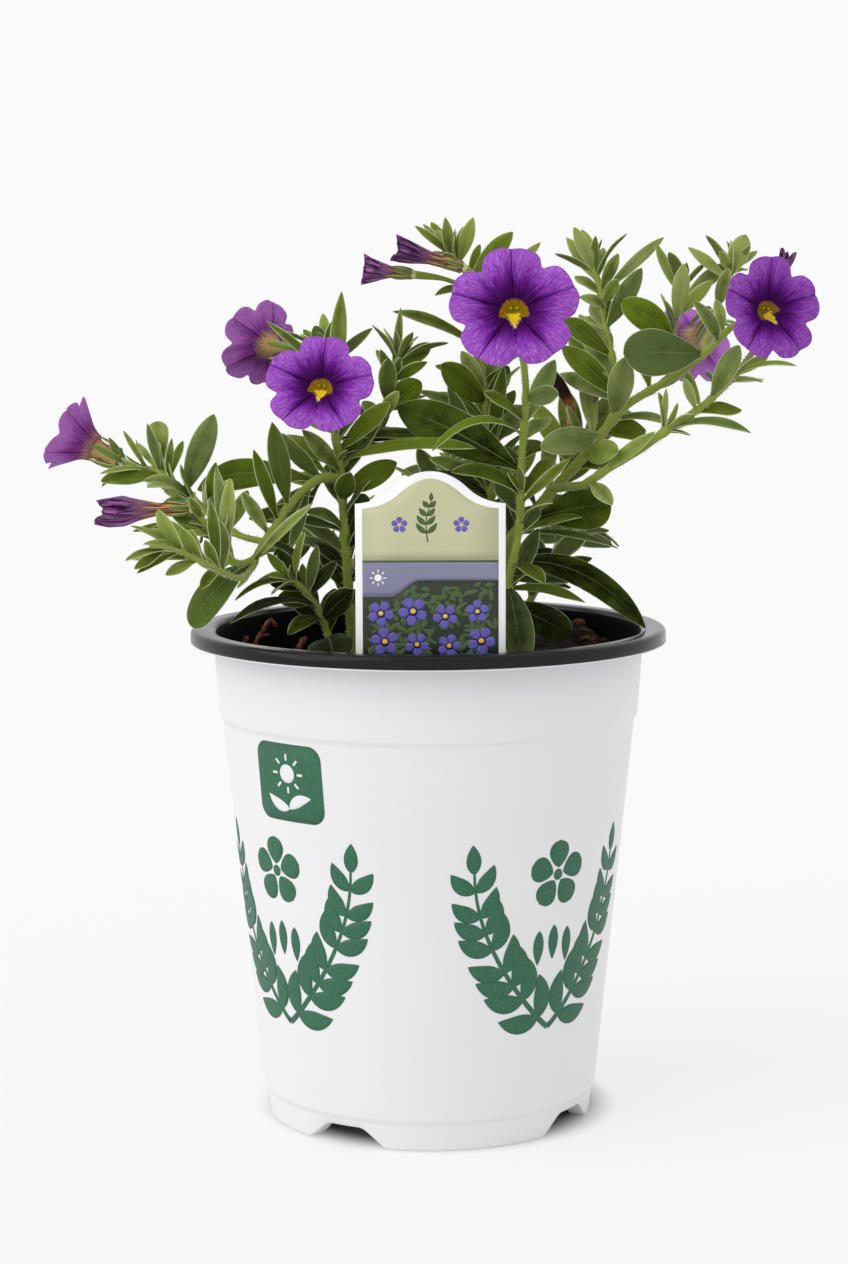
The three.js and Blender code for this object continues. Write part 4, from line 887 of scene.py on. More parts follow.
POT_HEIGHT = 122.5
RIM_RADIUS = 59.0
RIM_INSIDE = 57.8
RIM_LOW_Z = 119.3
BAND_TOP_RADIUS = 53.4
BAND_TOP_Z = 121.3
BAND_LOW_RADIUS = 52.0
BAND_LOW_Z = 100.0
BODY_TOP_RADIUS = 51.2
BODY_LOW_RADIUS = 41.7
FOOT_HEIGHT = 7.0
FOOT_RADIUS = 40.3
FOOT_INSIDE = 36.1
RECESS_Z = 6.1
FLOOR_Z = 8.6
LAYER = 0.7                 # the white outer layer of the wall
LAYER_GAP = 0.04            # between the white layer and the black one
NOTCH_HEIGHT = 4.8
NOTCH_LOW_HALF = 11.5
NOTCH_TOP_HALF = 4.5
FIRST_NOTCH = math.radians(59)
DRAIN_RADIUS = 4.0
DRAIN_REACH = 31.1
POT_COLUMNS = 256
CORNER_STEPS = 4


def body_radius(z):
    return BODY_LOW_RADIUS + (BODY_TOP_RADIUS - BODY_LOW_RADIUS) * (
        z - FOOT_HEIGHT) / (BAND_LOW_Z - FOOT_HEIGHT)


def softened(outline, radius):
    """The outline with its inner corners rounded."""
    outline = [np.asarray(point, float) for point in outline]
    made = [outline[0]]
    for before, corner, after in zip(outline, outline[1:], outline[2:]):
        back, on = before - corner, after - corner
        cut = min(radius, 0.45 * np.linalg.norm(back), 0.45 * np.linalg.norm(on))
        made += list(bezier(corner + unit(back) * cut, corner, corner + unit(on) * cut,
                            CORNER_STEPS))
    return np.array([*made, outline[-1]])


def subdivided(outline, longest):
    """The outline with points added, so that no stretch is longer than this."""
    made = [outline[0]]
    for start, end in zip(outline, outline[1:]):
        count = max(1, math.ceil(np.linalg.norm(end - start) / longest))
        made += [start + (end - start) * (k + 1) / count for k in range(count)]
    return np.array(made)


def notch_lift(spin):
    """How high the foot's edge stands off the floor, for each turn round the pot."""
    away = np.abs((spin - FIRST_NOTCH + QUARTER / 2) % QUARTER - QUARTER / 2) * FOOT_RADIUS
    share = np.clip((NOTCH_LOW_HALF - away) / (NOTCH_LOW_HALF - NOTCH_TOP_HALF), 0, 1)
    return NOTCH_HEIGHT * (0.55 * share + 0.45 * smoothstep(0, 1, share))


def polar(radius, spin, height):
    """A place on a circle round the pot's axis. A turn of 0 is the front."""
    return np.stack(np.broadcast_arrays(radius * np.sin(spin), -radius * np.cos(spin), height), -1)


def lathed(build, outline, material, foot=False, lining=None, lining_from=None):
    """Turns radii and heights round the pot's axis. foot lifts its lower edge at the notches."""
    rings = polar(outline[:, 0, None], circle(POT_COLUMNS), outline[:, 1, None])
    if foot:
        lift = notch_lift(circle(POT_COLUMNS))
        pressed = lift + rings[..., 2] * (RECESS_Z - lift) / RECESS_Z
        rings[..., 2] = np.where(rings[..., 2] < RECESS_Z, pressed, rings[..., 2])
    build.loft(rings, material, last_look=lining, last_from=lining_from)


def drill(piece):
    """Cuts the four drain holes through a piece's floor."""
    for quarter in range(4):
        place = polar(DRAIN_REACH * MM, FIRST_NOTCH + quarter * QUARTER, RECESS_Z * MM)
        bpy.ops.mesh.primitive_cylinder_add(vertices=40, radius=DRAIN_RADIUS * MM,
                                            depth=8 * MM, location=tuple(place))
        tool = bpy.context.object
        cut = piece.modifiers.new("drain", "BOOLEAN")
        cut.object = tool
        cut.solver = "EXACT"
        bpy.context.view_layer.update()
        shape = bpy.data.meshes.new_from_object(
            piece.evaluated_get(bpy.context.evaluated_depsgraph_get()))
        piece.modifiers.clear()
        piece.data = shape
        bpy.data.objects.remove(tool)


def shoulder(inset):
    """Where the band steps in to the body, this far inside the wall's outer face."""
    return [[BAND_LOW_RADIUS - inset, BAND_LOW_Z + 1.2], [BODY_TOP_RADIUS - inset, BAND_LOW_Z]]


def make_pot():
    """The white and the black layer of the pot, each of them one closed outline turned round."""
    outer = [[0.5, RECESS_Z], [FOOT_INSIDE, RECESS_Z], [FOOT_INSIDE, 0], [FOOT_RADIUS, 0],
             [FOOT_RADIUS + 0.6, FOOT_HEIGHT - 0.5], [BODY_LOW_RADIUS, FOOT_HEIGHT + 0.6],
             *shoulder(0)[::-1], [BAND_TOP_RADIUS, 121.0], [57.5, 121.0], [57.5, 118.95],
             [RIM_RADIUS, 118.95], [RIM_RADIUS, RIM_LOW_Z]]
    inside = [[RIM_INSIDE, RIM_LOW_Z], [RIM_INSIDE, BAND_TOP_Z],
              [BAND_TOP_RADIUS - LAYER, BAND_TOP_Z], *shoulder(LAYER),
              [BODY_LOW_RADIUS - LAYER, FLOOR_Z - LAYER], [0.5, FLOOR_Z - LAYER - 0.6]]
    shell = Build()
    lathed(shell, subdivided(softened(outer + inside, 0.55), 6), POT_WHITE, foot=True)
    drill(shell.finish("pot_outer_layer", "pot_white", "pot"))

    gap, inset = LAYER_GAP, LAYER + LAYER_GAP
    lining = [[0.5, FLOOR_Z - LAYER - 0.6 + gap], [BODY_LOW_RADIUS - inset, FLOOR_Z - LAYER + gap],
              *shoulder(inset)[::-1], [BAND_TOP_RADIUS - inset, BAND_TOP_Z + gap],
              [RIM_INSIDE + gap, BAND_TOP_Z + gap], [RIM_INSIDE + gap, RIM_LOW_Z + gap],
              [RIM_RADIUS - 0.1, RIM_LOW_Z + gap], [RIM_RADIUS, 120.3], [RIM_RADIUS - 0.15, 121.9],
              [58.0, POT_HEIGHT], [54.4, POT_HEIGHT], [52.3, BAND_TOP_Z], [50.6, 101.2],
              [49.8, 100], [40.3, FLOOR_Z + 1], [39.3, FLOOR_Z], [0.5, FLOOR_Z]]
    rim = Build()
    outline = subdivided(softened(lining, 0.6), 6)
    crest = int(np.argmax(outline[:, 1]))
    inner_wall = crest + int(np.argmax(outline[crest:, 0] < 53))
    lathed(rim, outline, POT_BLACK, lining=POT_LINING, lining_from=inner_wall)
    drill(rim.finish("pot_rim_and_lining", "pot_black", "pot"))


# ---------------- print on the pot

PRINT_LIFT = 0.07
PRINT_DEPTH = 0.05
PRINT_STEPS = 15
ACROSS = np.array((-1, -0.5, 0, 0.5, 1))


def flat_way(angle):
    return np.array((math.cos(angle), math.sin(angle)))


def on_cone(turn, middle_z):
    """Lays flat print, x along the wall and y up it, round the pot's body."""
    def lay(flat, lift):
        z = middle_z + flat[..., 1]
        return polar(body_radius(z) + lift, turn + flat[..., 0] / body_radius(z), z)
    return lay


def print_sheet(build, lay, flat, material, lift, depth=PRINT_DEPTH):
    """A thin sheet of print over rows of flat points."""
    build.loft(np.concatenate([lay(flat, lift), lay(flat[:, ::-1], lift - depth)], axis=1),
               material)


def add_ribbon(build, lay, spine, half_widths, material, lift=PRINT_LIFT):
    """A printed strip along a flat spine, as wide as the half-widths say."""
    spine = np.asarray(spine, float)
    ways = unit(np.gradient(spine, axis=0))
    square = np.stack([-ways[:, 1], ways[:, 0]], -1)
    widths = np.broadcast_to(half_widths, len(spine))[:, None] * ACROSS
    print_sheet(build, lay, spine[:, None] + square[:, None] * widths[..., None], material, lift)


def bent(start, end, bow, count=PRINT_STEPS):
    """A flat line from start to end, bowed to its left."""
    start, end = np.asarray(start, float), np.asarray(end, float)
    t = np.linspace(0, 1, count)[:, None]
    square = np.array((start[1] - end[1], end[0] - start[0]))
    return start + (end - start) * t + square * bow * np.sin(math.pi * t)


def add_print_leaf(build, lay, foot, angle, length, half, material, bow, lift=PRINT_LIFT):
    t = np.linspace(0, 1, PRINT_STEPS)
    widths = np.maximum(0.04, half * np.sin(math.pi * t ** 0.85) ** 0.8)
    spine = bent(foot, np.asarray(foot) + length * flat_way(angle), bow)
    add_ribbon(build, lay, spine, widths, material, lift)


def add_print_disc(build, lay, centre, radius, material, lift):
    x = radius * np.cos(np.linspace(math.pi, 0, 17))
    spine = np.stack([centre[0] + x, np.full_like(x, centre[1])], -1)
    widths = np.maximum(0.02, np.sqrt(np.maximum(0, radius ** 2 - x ** 2)))
    add_ribbon(build, lay, spine, widths, material, lift)


def add_print_blossom(build, lay, centre, radius, petal, heart, turn=0.0, lift=PRINT_LIFT):
    """Five plain rounded petals about a dot."""
    t = np.linspace(0, 1, PRINT_STEPS)
    widths = np.maximum(0.03, radius * 0.36 * np.sqrt(np.sin(math.pi * t ** 1.35)))
    for k in range(5):
        way = flat_way(turn + QUARTER + k * TURN / 5)
        spine = bent(np.asarray(centre) + way * radius * 0.2, np.asarray(centre) + way * radius, 0)
        add_ribbon(build, lay, spine, widths, petal, lift)
    add_print_disc(build, lay, centre, radius * 0.16, heart, lift)


def add_sun(build, lay, centre, radius, rays, half, material, lift, count=5):
    """A dot with eight rays, which start and end at these distances."""
    add_print_disc(build, lay, centre, radius, material, lift)
    for k in range(8):
        way = flat_way(k * TURN / 8)
        ray = bent(np.array(centre) + way * rays[0], np.array(centre) + way * rays[1], 0, count)
        add_ribbon(build, lay, ray, half, material, lift)


def add_spray(build, lay):
    """Two arching leafy sprigs that part like a fan, with a plain blossom between them."""
    for side in (-1, 1):
        stalk = np.array([(side * 23 * math.sin(t * 1.45), -24 + 40 * t ** 1.15)
                          for t in np.linspace(0, 1, 22)])
        add_ribbon(build, lay, stalk, np.linspace(0.7, 0.3, 22), INK_GREEN)
        for k in range(9):
            at = (k + 1) / 9
            here = round(at * 21)
            way = math.atan2(*(stalk[min(21, here + 1)] - stalk[here - 1])[::-1])
            for turn in (0.75, -0.75) if k < 8 else (0.0,):
                add_print_leaf(build, lay, stalk[here], way + turn, 11.5 - 4.2 * at, 2.5 - 0.7 * at,
                               INK_GREEN, 0.1 * np.sign(turn))
    add_print_blossom(build, lay, (0, 14), 8.5, INK_GREEN, INK_GREEN)
    for drop in (-1, 0, 1):
        add_print_leaf(build, lay, (drop * 4.5, 1.5 - abs(drop)), -QUARTER, 8.5, 1.5, INK_GREEN, 0)


def add_badge(build, lay):
    """A rounded green patch with a white rising sun over a leaf."""
    half, tall, corner = 10.5, 9.5, 3.5
    x = half * np.cos(np.linspace(math.pi, 0, 41))
    inset = np.clip(np.abs(x) - (half - corner), 0, corner)
    widths = tall - corner + np.sqrt(np.maximum(0, corner ** 2 - inset ** 2))
    add_ribbon(build, lay, np.stack([x, np.zeros_like(x)], -1), widths, INK_GREEN)
    above = PRINT_LIFT + 0.03
    add_sun(build, lay, (0, 2.2), 2.3, (3.2, 4.8), 0.3, POT_WHITE, above)
    for turn in (0.42, math.pi - 0.42):
        add_print_leaf(build, lay, (0, -6.4), turn, 7.5, 1.4, POT_WHITE, 0.1, above)


def make_print():
    build = Build()
    for quarter in range(4):
        turn = math.radians(-50) + quarter * QUARTER
        add_spray(build, on_cone(turn, 53))
        if quarter % 2 == 0:
            add_badge(build, on_cone(turn + math.radians(8), 89.5))
    build.finish("pot_print", "print_green", "pot")


# ---------------- plant tag

TAG_Y = -45.0
TAG_MIDDLE = 0.5
TAG_HALF = 17.5
TAG_STAKE = 7.0
TAG_SHOULDER_Z = 156.5
TAG_TOP_Z = 164.0
TAG_LOW_Z = 118.0
TAG_TIP_Z = 62.0
TAG_THICK = 0.7
TAG_BORDER = 1.65
TAG_INNER = TAG_HALF - TAG_BORDER
TAG_LINE = 0.45             # the green line under the panel
PANEL_LOW_Z = 143.3
BAND_RIGHT_Z = 138.6
BAND_LEFT_Z = 134.7
PICTURE_LOW_Z = 119.5
SIGN_LIFT = 0.08


def bell(half, shoulder, top):
    """The tag's head above its shoulder, as half-widths and heights."""
    bend = (half - 9, shoulder + 3.8)
    return np.concatenate([bezier((half, shoulder), (half - 5.5, shoulder + 0.3), bend, 14),
                           bezier(bend, (half - 13, top), (0.05, top), 14)[1:]])


def on_tag(flat, lift):
    depth = np.full(flat.shape[:-1], TAG_Y - TAG_THICK / 2 - lift)
    return np.stack([TAG_MIDDLE + flat[..., 0], depth, flat[..., 1]], -1)


def add_tag_panel(build, outline, material, lift):
    """A panel that is the same left and right, from half-widths and heights."""
    outline = np.asarray(outline, float)
    flat = np.stack(np.broadcast_arrays(outline[:, :1] * ACROSS, outline[:, 1:]), -1)
    print_sheet(build, on_tag, flat, material, lift, 0.04)


def tag_plate():
    """The plain card: its rounded edge goes round front, side and back."""
    stake = [(0.4, TAG_TIP_Z), (2.4, TAG_TIP_Z + 4), (4.8, TAG_TIP_Z + 9.5),
             (TAG_STAKE, TAG_TIP_Z + 16), (TAG_STAKE, TAG_LOW_Z - 3.5)]
    neck = [(7.6, TAG_LOW_Z - 2.6), (12, TAG_LOW_Z - 1.5), (16.6, TAG_LOW_Z - 0.6),
            (TAG_HALF, TAG_LOW_Z + 0.6)]
    outline = subdivided(np.array([*stake, *neck, *bell(TAG_HALF, TAG_SHOULDER_Z, TAG_TOP_Z)]), 5)
    face = TAG_THICK / 2
    front = [(-1, face - 0.12), (-0.985, face), (-0.5, face), (0.5, face), (0.985, face),
             (1, face - 0.12)]
    section = np.array(front + [(x, -y) for x, y in reversed(front)])
    build = Build()
    build.loft(np.stack(np.broadcast_arrays(TAG_MIDDLE + outline[:, :1] * section[:, 0],
                                            TAG_Y - section[:, 1], outline[:, 1:]), -1), TAG_WHITE)
    return build


def band_low(x):
    """The lower edge of the tag's band: a soft step, lower on the left."""
    return BAND_LEFT_Z + (BAND_RIGHT_Z - BAND_LEFT_Z) * smoothstep(-9.5, -2.5, x)


def add_band(build):
    """The grey-blue band and the dark picture ground under it."""
    x, share = np.linspace(-TAG_INNER, TAG_INNER, 44), np.linspace(0, 1, 6)
    top, bottom = np.full_like(x, PANEL_LOW_Z - TAG_LINE), np.full_like(x, PICTURE_LOW_Z)
    for low, high, material in ((band_low(x), top, TAG_BAND), (bottom, band_low(x), TAG_DARK)):
        flat = np.stack(np.broadcast_arrays(
            x[:, None], low[:, None] + (high - low)[:, None] * share), -1)
        print_sheet(build, on_tag, flat, material, 0.04, 0.04)


def in_picture(point, margin=0.4):
    return (abs(point[0]) < TAG_INNER - margin
            and PICTURE_LOW_Z < point[1] < band_low(point[0]) - margin)


def add_picture(build):
    """Small printed leaves, strewn, and two rows of blossoms over them."""
    draw = random.Random(31)
    for _ in range(240):
        foot = (draw.uniform(-15.5, 15.5), draw.uniform(PICTURE_LOW_Z, BAND_RIGHT_Z))
        angle, length = draw.uniform(0, TURN), draw.uniform(1.6, 3.4)
        if in_picture(foot) and in_picture(foot + length * flat_way(angle), 0.7):
            add_print_leaf(build, on_tag, foot, angle, length, draw.uniform(0.35, 0.7), TAG_LEAF,
                           0.1, 0.07 + draw.uniform(0, 0.02))
    for row, height in enumerate((130.9, 123.7)):
        for k in range(4):
            centre = (-11.6 + k * 7.5 + row * 0.9, height + 0.7 * math.sin(2.3 * k + row))
            size = 3.05 + 0.35 * math.sin(1.7 * k + 2.1 * row)
            if in_picture(centre, size):
                add_print_blossom(build, on_tag, centre, size, TAG_VIOLET, TAG_YELLOW,
                                  draw.uniform(0, 1), 0.11)
                add_print_disc(build, on_tag, centre, size * 0.34, TAG_DEEP, 0.118)
                add_print_disc(build, on_tag, centre, size * 0.18, TAG_YELLOW, 0.126)


def add_sprig(build, foot, height):
    """A slender printed twig with paired leaves."""
    stalk = bent(foot, (foot[0] + 0.8, foot[1] + height), 0.08)
    add_ribbon(build, on_tag, stalk, np.linspace(0.16, 0.08, PRINT_STEPS), TAG_LEAF,
               SIGN_LIFT)
    for k, at in enumerate((3, 6, 9, 12)):
        for turn in (-0.8, 0.8):
            add_print_leaf(build, on_tag, stalk[at], QUARTER + turn, 3.4 - 0.45 * k, 0.62,
                           TAG_LEAF, 0.1 * turn, SIGN_LIFT)
    add_print_leaf(build, on_tag, stalk[-1], QUARTER, 2.0, 0.5, TAG_LEAF, 0, SIGN_LIFT)


def make_tag():
    build = tag_plate()
    head = bell(TAG_INNER, TAG_SHOULDER_Z - 1.1, TAG_TOP_Z - TAG_BORDER)
    add_tag_panel(build, subdivided(np.array([(TAG_INNER, PANEL_LOW_Z), *head]), 3), TAG_SAGE, 0.04)
    add_tag_panel(build, [(TAG_INNER, PANEL_LOW_Z - TAG_LINE), (TAG_INNER, PANEL_LOW_Z)],
                  TAG_LEAF, 0.045)
    add_band(build)
    add_picture(build)
    add_sun(build, on_tag, (-12.2, 139.2), 0.85, (1.25, 1.95), 0.14, TAG_WHITE, SIGN_LIFT, 4)
    add_sprig(build, (-0.6, 147.6), 9.5)
    for side in (-1, 1):
        add_print_blossom(build, on_tag, (side * 7.2, 151.6), 1.9, TAG_VIOLET, TAG_YELLOW, 0,
                          SIGN_LIFT)
    build.finish("plant_tag_card", "tag_card", "plant_tag")


# ---------------- soil

SOIL_RADIUS = 52.0
SOIL_EDGE_Z = 111.7
SOIL_CROWN_Z = 112.5
SOIL_LOW_Z = 9.0
SOIL_COLUMNS = 200
SOIL_RINGS = 52
HEAP_AT = (38, 30)          # soil piled against the wall at the right
HEAP_HEIGHT = 6.0
HEAP_REACH = 24
CRUMBS = 1150
STICKS = 60
# Bark that stands up out of the peat: where it starts and ends, and its half thickness.
BARK = [
    ((-44.5, 20, 114.5), (-42.4, 22, 118.6), 0.6), ((-42.6, 21.8, 118), (-40.1, 24, 121.4), 0.7),
    ((-40.4, 23.8, 121), (-39.2, 24, 118.8), 0.6), ((-43.4, 21.2, 116.8), (-40.6, 23, 117.2), 0.4),
    ((-48, 21, 114.5), (-46, 23, 116.9), 0.8), ((-33.5, 25, 113), (-31.4, 27, 116.2), 0.9),
]


def from_heap(x, y):
    return math.hypot(x - HEAP_AT[0], y - HEAP_AT[1])


def soil_height(x, y):
    share = min(1.0, math.hypot(x, y) / SOIL_RADIUS)
    rough = 0.9 * swirl(x / 7, y / 7) + 0.5 * swirl(x / 2.6, y / 2.6, 5)
    heap = HEAP_HEIGHT * math.exp(-from_heap(x, y) ** 2 / 260)
    crown = (SOIL_CROWN_Z - SOIL_EDGE_Z) * (1 - share ** 2)
    return SOIL_EDGE_Z + crown + heap * (1 + 0.3 * rough) + rough - 0.3


def make_soil():
    build, spin = Build(), circle(SOIL_COLUMNS)
    rings = []
    for r in (0.3, *np.linspace(1.5, SOIL_RADIUS - 1.0, SOIL_RINGS)):
        ring = polar(r, spin, 0.0)
        ring[:, 2] = [soil_height(x, y) for x, y, _ in ring]
        rings.append(ring)
    for r, z in ((SOIL_RADIUS - 0.6, SOIL_EDGE_Z - 1.5), (SOIL_RADIUS - 1.6, 101),
                 (body_radius(60) - 1.9, 60), (body_radius(12) - 2.2, 12),
                 (body_radius(10) - 4, SOIL_LOW_Z), (1, SOIL_LOW_Z)):
        rings.append(polar(r, spin, z))
    build.loft(rings, PEAT)
    for k in range(CRUMBS + STICKS):
        stick = k >= CRUMBS
        edge = SOIL_RADIUS - (7 if stick else 2.2)
        x, y, _ = polar(edge * math.sqrt(rng.random()), rng.uniform(0, TURN), 0)
        size = 0.35 + 1.4 * rng.random() ** 3
        shape = (size * rng.uniform(0.8, 1.6), size, size * rng.uniform(0.5, 0.9))
        if stick:
            shape = (rng.uniform(1.2, 3.4), rng.uniform(0.3, 0.7), rng.uniform(0.25, 0.5))
        turn = Euler((rng.uniform(-0.5, 0.5), rng.uniform(-0.4, 0.4), rng.uniform(0, 6.3)))
        share = 0.5 if from_heap(x, y) < HEAP_REACH else 0.3
        bark = 0.9 if stick or rng.random() < share else 0.0
        add_blob(build, (x, y, soil_height(x, y) + 0.3 * shape[2]), shape, PEAT,
                 (bark * rng.uniform(0.4, 1), 0, rng.random()), 0.6, 7, turn)
    for start, end, thick in BARK:
        add_tube(build, bowed_line(start, end, 0.4, UP),
                 thick * np.array((0.5, 1, 0.8, 1.1, 0.7, 0.3)), 7, PEAT, (0.9, 0, 0.2))
    build.finish("peat_surface", "soil", "potting_soil")


# ---------------- leaves

BLADE_TOP = (-1, -0.93, -0.7, -0.4, -0.13, 0, 0.13, 0.4, 0.7, 0.93, 1)
BLADE_LOW = (0.8, 0.4, 0.1, 0, -0.1, -0.4, -0.8)
BLADE = np.array(BLADE_TOP + BLADE_LOW)
UNDERSIDE = len(BLADE_TOP)
PETIOLE_HALF = 0.5
BLADE_THICK = 0.55
MARGIN = 0.22                # the pale edge of a blade


def add_leaf(build, line, width, face, shade, hue, roll, stations=14, form=None):
    """A soft leaf: folded along a sunken midrib, with margins that roll back a little and a
    wave along them. form says how slowly it widens from its foot and narrows to its tip."""
    spread = np.sin(np.linspace(0, 1, stations) * math.pi / 2)
    slim = np.clip((line.length / width - 1.6) / 2.6, 0, 1)
    foot, point = form or (0.85 + 0.25 * slim, 0.56 + 0.26 * slim)
    breadth = spread ** foot * (1 - spread) ** point
    half = np.maximum(width / 2 * breadth / breadth.max(), PETIOLE_HALF * (1 - spread) + 0.03)
    ways = line.along(spread)
    upper = cross_to(ways, np.asarray(face, float))
    across = np.cross(ways, upper)
    twist = (roll * (0.4 + 0.6 * spread))[:, None]
    upper, across = (upper * np.cos(twist) + across * np.sin(twist),
                     across * np.cos(twist) - upper * np.sin(twist))
    seed, fold = rng.random() * 80, rng.uniform(0.05, 0.2)
    wide, rows = np.abs(BLADE), []
    for k, centre in enumerate(line.at(spread)):
        ripple = 0.09 * half[k] * math.sin(3 * math.pi * spread[k] + seed) * BLADE * wide
        lift = half[k] * (fold * wide ** 1.2 - 0.2 * wide ** 4) + ripple
        lift += 0.05 * half[k] * wide * swirl(seed, 4 * spread[k])
        groove = 0.12 * np.exp(-(BLADE / 0.09) ** 2) * (1 - spread[k])
        thick = BLADE_THICK * (1 - 0.55 * wide) * (0.4 + 0.6 * min(1, half[k]))
        thick += 0.3 * np.exp(-(BLADE / 0.12) ** 2) * (1 - spread[k])
        lift -= np.where(np.arange(len(BLADE)) < UNDERSIDE, groove, thick)
        rows.append(centre + np.outer(BLADE * half[k], across[k]) + np.outer(lift, upper[k]))
    tone = np.zeros((stations, len(BLADE), 3))
    tone[..., 0] = np.clip(shade + 0.12 * (spread[:, None] - 0.5), 0, 1)
    tone[..., 1] = np.clip(MARGIN / half, 0.035, 0.26)[:, None]
    tone[:, UNDERSIDE:, 1] = 1
    tone[..., 2] = hue
    build.loft(rows, LEAF, tone, grid(spread, (BLADE + 1) / 2))


def shown_face(shoot_name, face):
    """The way a blade's upper side looks: front leaves turn towards the light in front."""
    face = unit(np.asarray(face, float))
    return face if shoot_name.startswith("back_") else unit(face + np.array((0, -0.55, 0)))


def leaf_shade(shoot_name, tip, width):
    """Painted light and shade: leaves higher up and farther out are painted paler, as if in more
    light, and the low ones, and those behind on front shoots, darker, as if in the rest's shade."""
    out = math.hypot(tip[0], tip[1]) / 90 - 0.35 + (tip[2] - 160) / 75
    if not shoot_name.startswith("back_"):
        out -= max(0, tip[1]) / 110
    light = 0.52 + (0.4 if out > 0 else 0.85) * out - 0.022 * (width - 4)
    # Painted shade: the lowest leaves are darker still.
    light -= 0.45 * smoothstep(154, 126, tip[2])
    return float(np.clip(light + rng.uniform(-0.24, 0.24), 0.03, 0.95))


def leaf_hue():
    """Some leaves are grey with down, and some a fresh yellow-green: partly their own colour,
    partly painted light shining through them.
    """
    return rng.uniform(-0.8, 0.9)


# ---------------- shoots

STEM_SIDES = 10
TWIG_RINGS = 16
DOWN_PER_MM = 7
GOLDEN = 2.4                    # the turn from each leaf to the next, in radians
OPEN_SEPALS = (3.0, 8.2, 2.1)   # how far they stand out, their length and width
BUD_SEPALS = (1.4, 6.0, 1.3)


def add_down(build, line, radii):
    """Short pale hairs that stand off a stem."""
    for _ in range(int(line.length * DOWN_PER_MM)):
        at, spin = rng.uniform(0.02, 0.98), rng.uniform(0, TURN)
        way = line.along(at)
        out = around(way, spin)
        lean = unit(out + way * rng.uniform(-0.2, 0.5))
        across = np.cross(way, out)
        foot = line.at(at) + out * np.interp(at, np.linspace(0, 1, len(radii)), radii) * 0.95
        tip = foot + lean * rng.uniform(0.4, 0.8)
        build.loft([[place + thick * across, place - thick * (across / 2 - way * 0.87),
                     place - thick * (across / 2 + way * 0.87)]
                    for place, thick in ((foot, 0.06), (tip, 0.015))], DOWN)


def add_sepals(build, seat, axis, shade, measures):
    """Five narrow downy sepals round the foot of a flower."""
    spread, length, width = measures
    add_blob(build, seat + axis * 0.6, (1.25, 1.25, 1.25), LEAF, (shade, 0, 0.3), 0, 10)
    for k in range(5):
        out = around(axis, k * TURN / 5)
        tip = seat + out * spread * rng.uniform(0.7, 1.25) + axis * length
        line = Line(bezier(seat, seat + out * spread + axis * 0.3, tip, 16))
        add_leaf(build, line, width, -out, shade, 0.8, 0, 9)


def leaning(foot, way, outward, length, tilt):
    """A leaf's tip, from its foot and its tilt away from the stem in degrees."""
    tilt = math.radians(tilt)
    return foot + length * (way * math.cos(tilt) + outward * math.sin(tilt))


def add_axil_leaves(build, line, at, tip, shade):
    """One or two young leaves in the angle between a stem and a leaf."""
    foot, way = line.at(at), line.along(at)
    out = cross_to(way, np.asarray(tip, float) - foot)
    for _ in range(rng.choice((1, 2))):
        length, tilt = rng.uniform(6, 10), rng.uniform(18, 58)
        outward = around(way, rng.uniform(-1.1, 1.1), out)
        end = leaning(foot, way, outward, length, tilt)
        face = way - outward * 0.5 + np.array((0, -0.8, 0))
        add_leaf(build, bowed_line(foot, end, 0.6, face), length * rng.uniform(0.28, 0.4), face,
                 min(0.95, shade + 0.1), rng.uniform(0.5, 1), rng.uniform(-0.4, 0.4), 9)


def add_fillers(build, name, line):
    """Leaves along a shoot, each a golden angle round it from the one before. Those that
    would hide the stem from in front turn to the back."""
    count, first, last, longest = FILLERS[name]
    for k in range(count):
        at = first + (last - first) * (k + 0.5) / count
        foot, way = line.at(at), line.along(at)
        spin, tilt = GOLDEN * k + rng.uniform(-0.4, 0.4), rng.uniform(35, 75)
        outward = around(way, spin)
        if outward[1] < -0.5 and not name.startswith("back_"):
            outward = outward * (1, -1, 1)
        length = longest * rng.uniform(0.75, 1.2)
        tip = leaning(foot, way, outward, length, tilt)
        face = shown_face(name, way - 0.4 * outward)
        width = length * rng.uniform(0.3, 0.42)
        # Fillers are painted a little darker still: painted shade deep inside the plant.
        add_leaf(build, bowed_line(foot, tip, 0.08 * length, face), width, face,
                 max(0.03, leaf_shade(name, tip, width) - 0.08), leaf_hue(),
                 rng.uniform(-0.25, 0.25))


def add_rosette(build, line, count, longest):
    """The young leaves at the growing tip of a shoot, the inner ones short and upright."""
    foot, way = line.at(0.97), line.along(1.0)
    for k in range(count):
        spin, age = GOLDEN * k + 0.4 * rng.random(), (k + 1) / count
        outward = around(way, spin)
        length = longest * (0.45 + 0.55 * age) * rng.uniform(0.85, 1.15)
        end = leaning(foot, way, outward, length, 12 + 50 * age)
        face = way * 0.7 - outward
        blade = bowed_line(foot - way * age, end, 0.5 + 0.6 * age, face)
        add_leaf(build, blade, length * rng.uniform(0.24, 0.34), face, rng.uniform(0.4, 0.8),
                 1 - 0.5 * age, rng.uniform(-0.3, 0.3), 10)


def seat_of(flower):
    shoot = flower["shoot"]
    points = TWIGS[shoot][flower["twig"]][2] if "twig" in flower else SHOOTS[shoot][2]
    return np.array(points[-1], float)


def flower_axis(flower):
    """From a flower's seat towards its limb or tip."""
    return unit(np.array(flower.get("limb") or flower["tip"]) - seat_of(flower))


def add_twig(build, radius, look, points):
    """A short side stem: green, brown, or dead and broken off."""
    shares = np.linspace(0, 1, TWIG_RINGS)
    swelling = 0.7 * smoothstep(0.5, 1, shares)
    tone = np.zeros((TWIG_RINGS, STEM_SIDES, 3))
    tone[..., 0] = look != "green"
    if look == "brown":
        swelling = 0 * shares
    if look == "dead":
        swelling = 0.3 * smoothstep(0.5, 1, shares) - 0.05
        tone[..., 1] = 0.4 + 0.6 * smoothstep(0.5, 0.85, shares)[:, None]
    add_tube(build, smooth_line(points), radius * (1 + swelling), STEM_SIDES, STEM, tone)


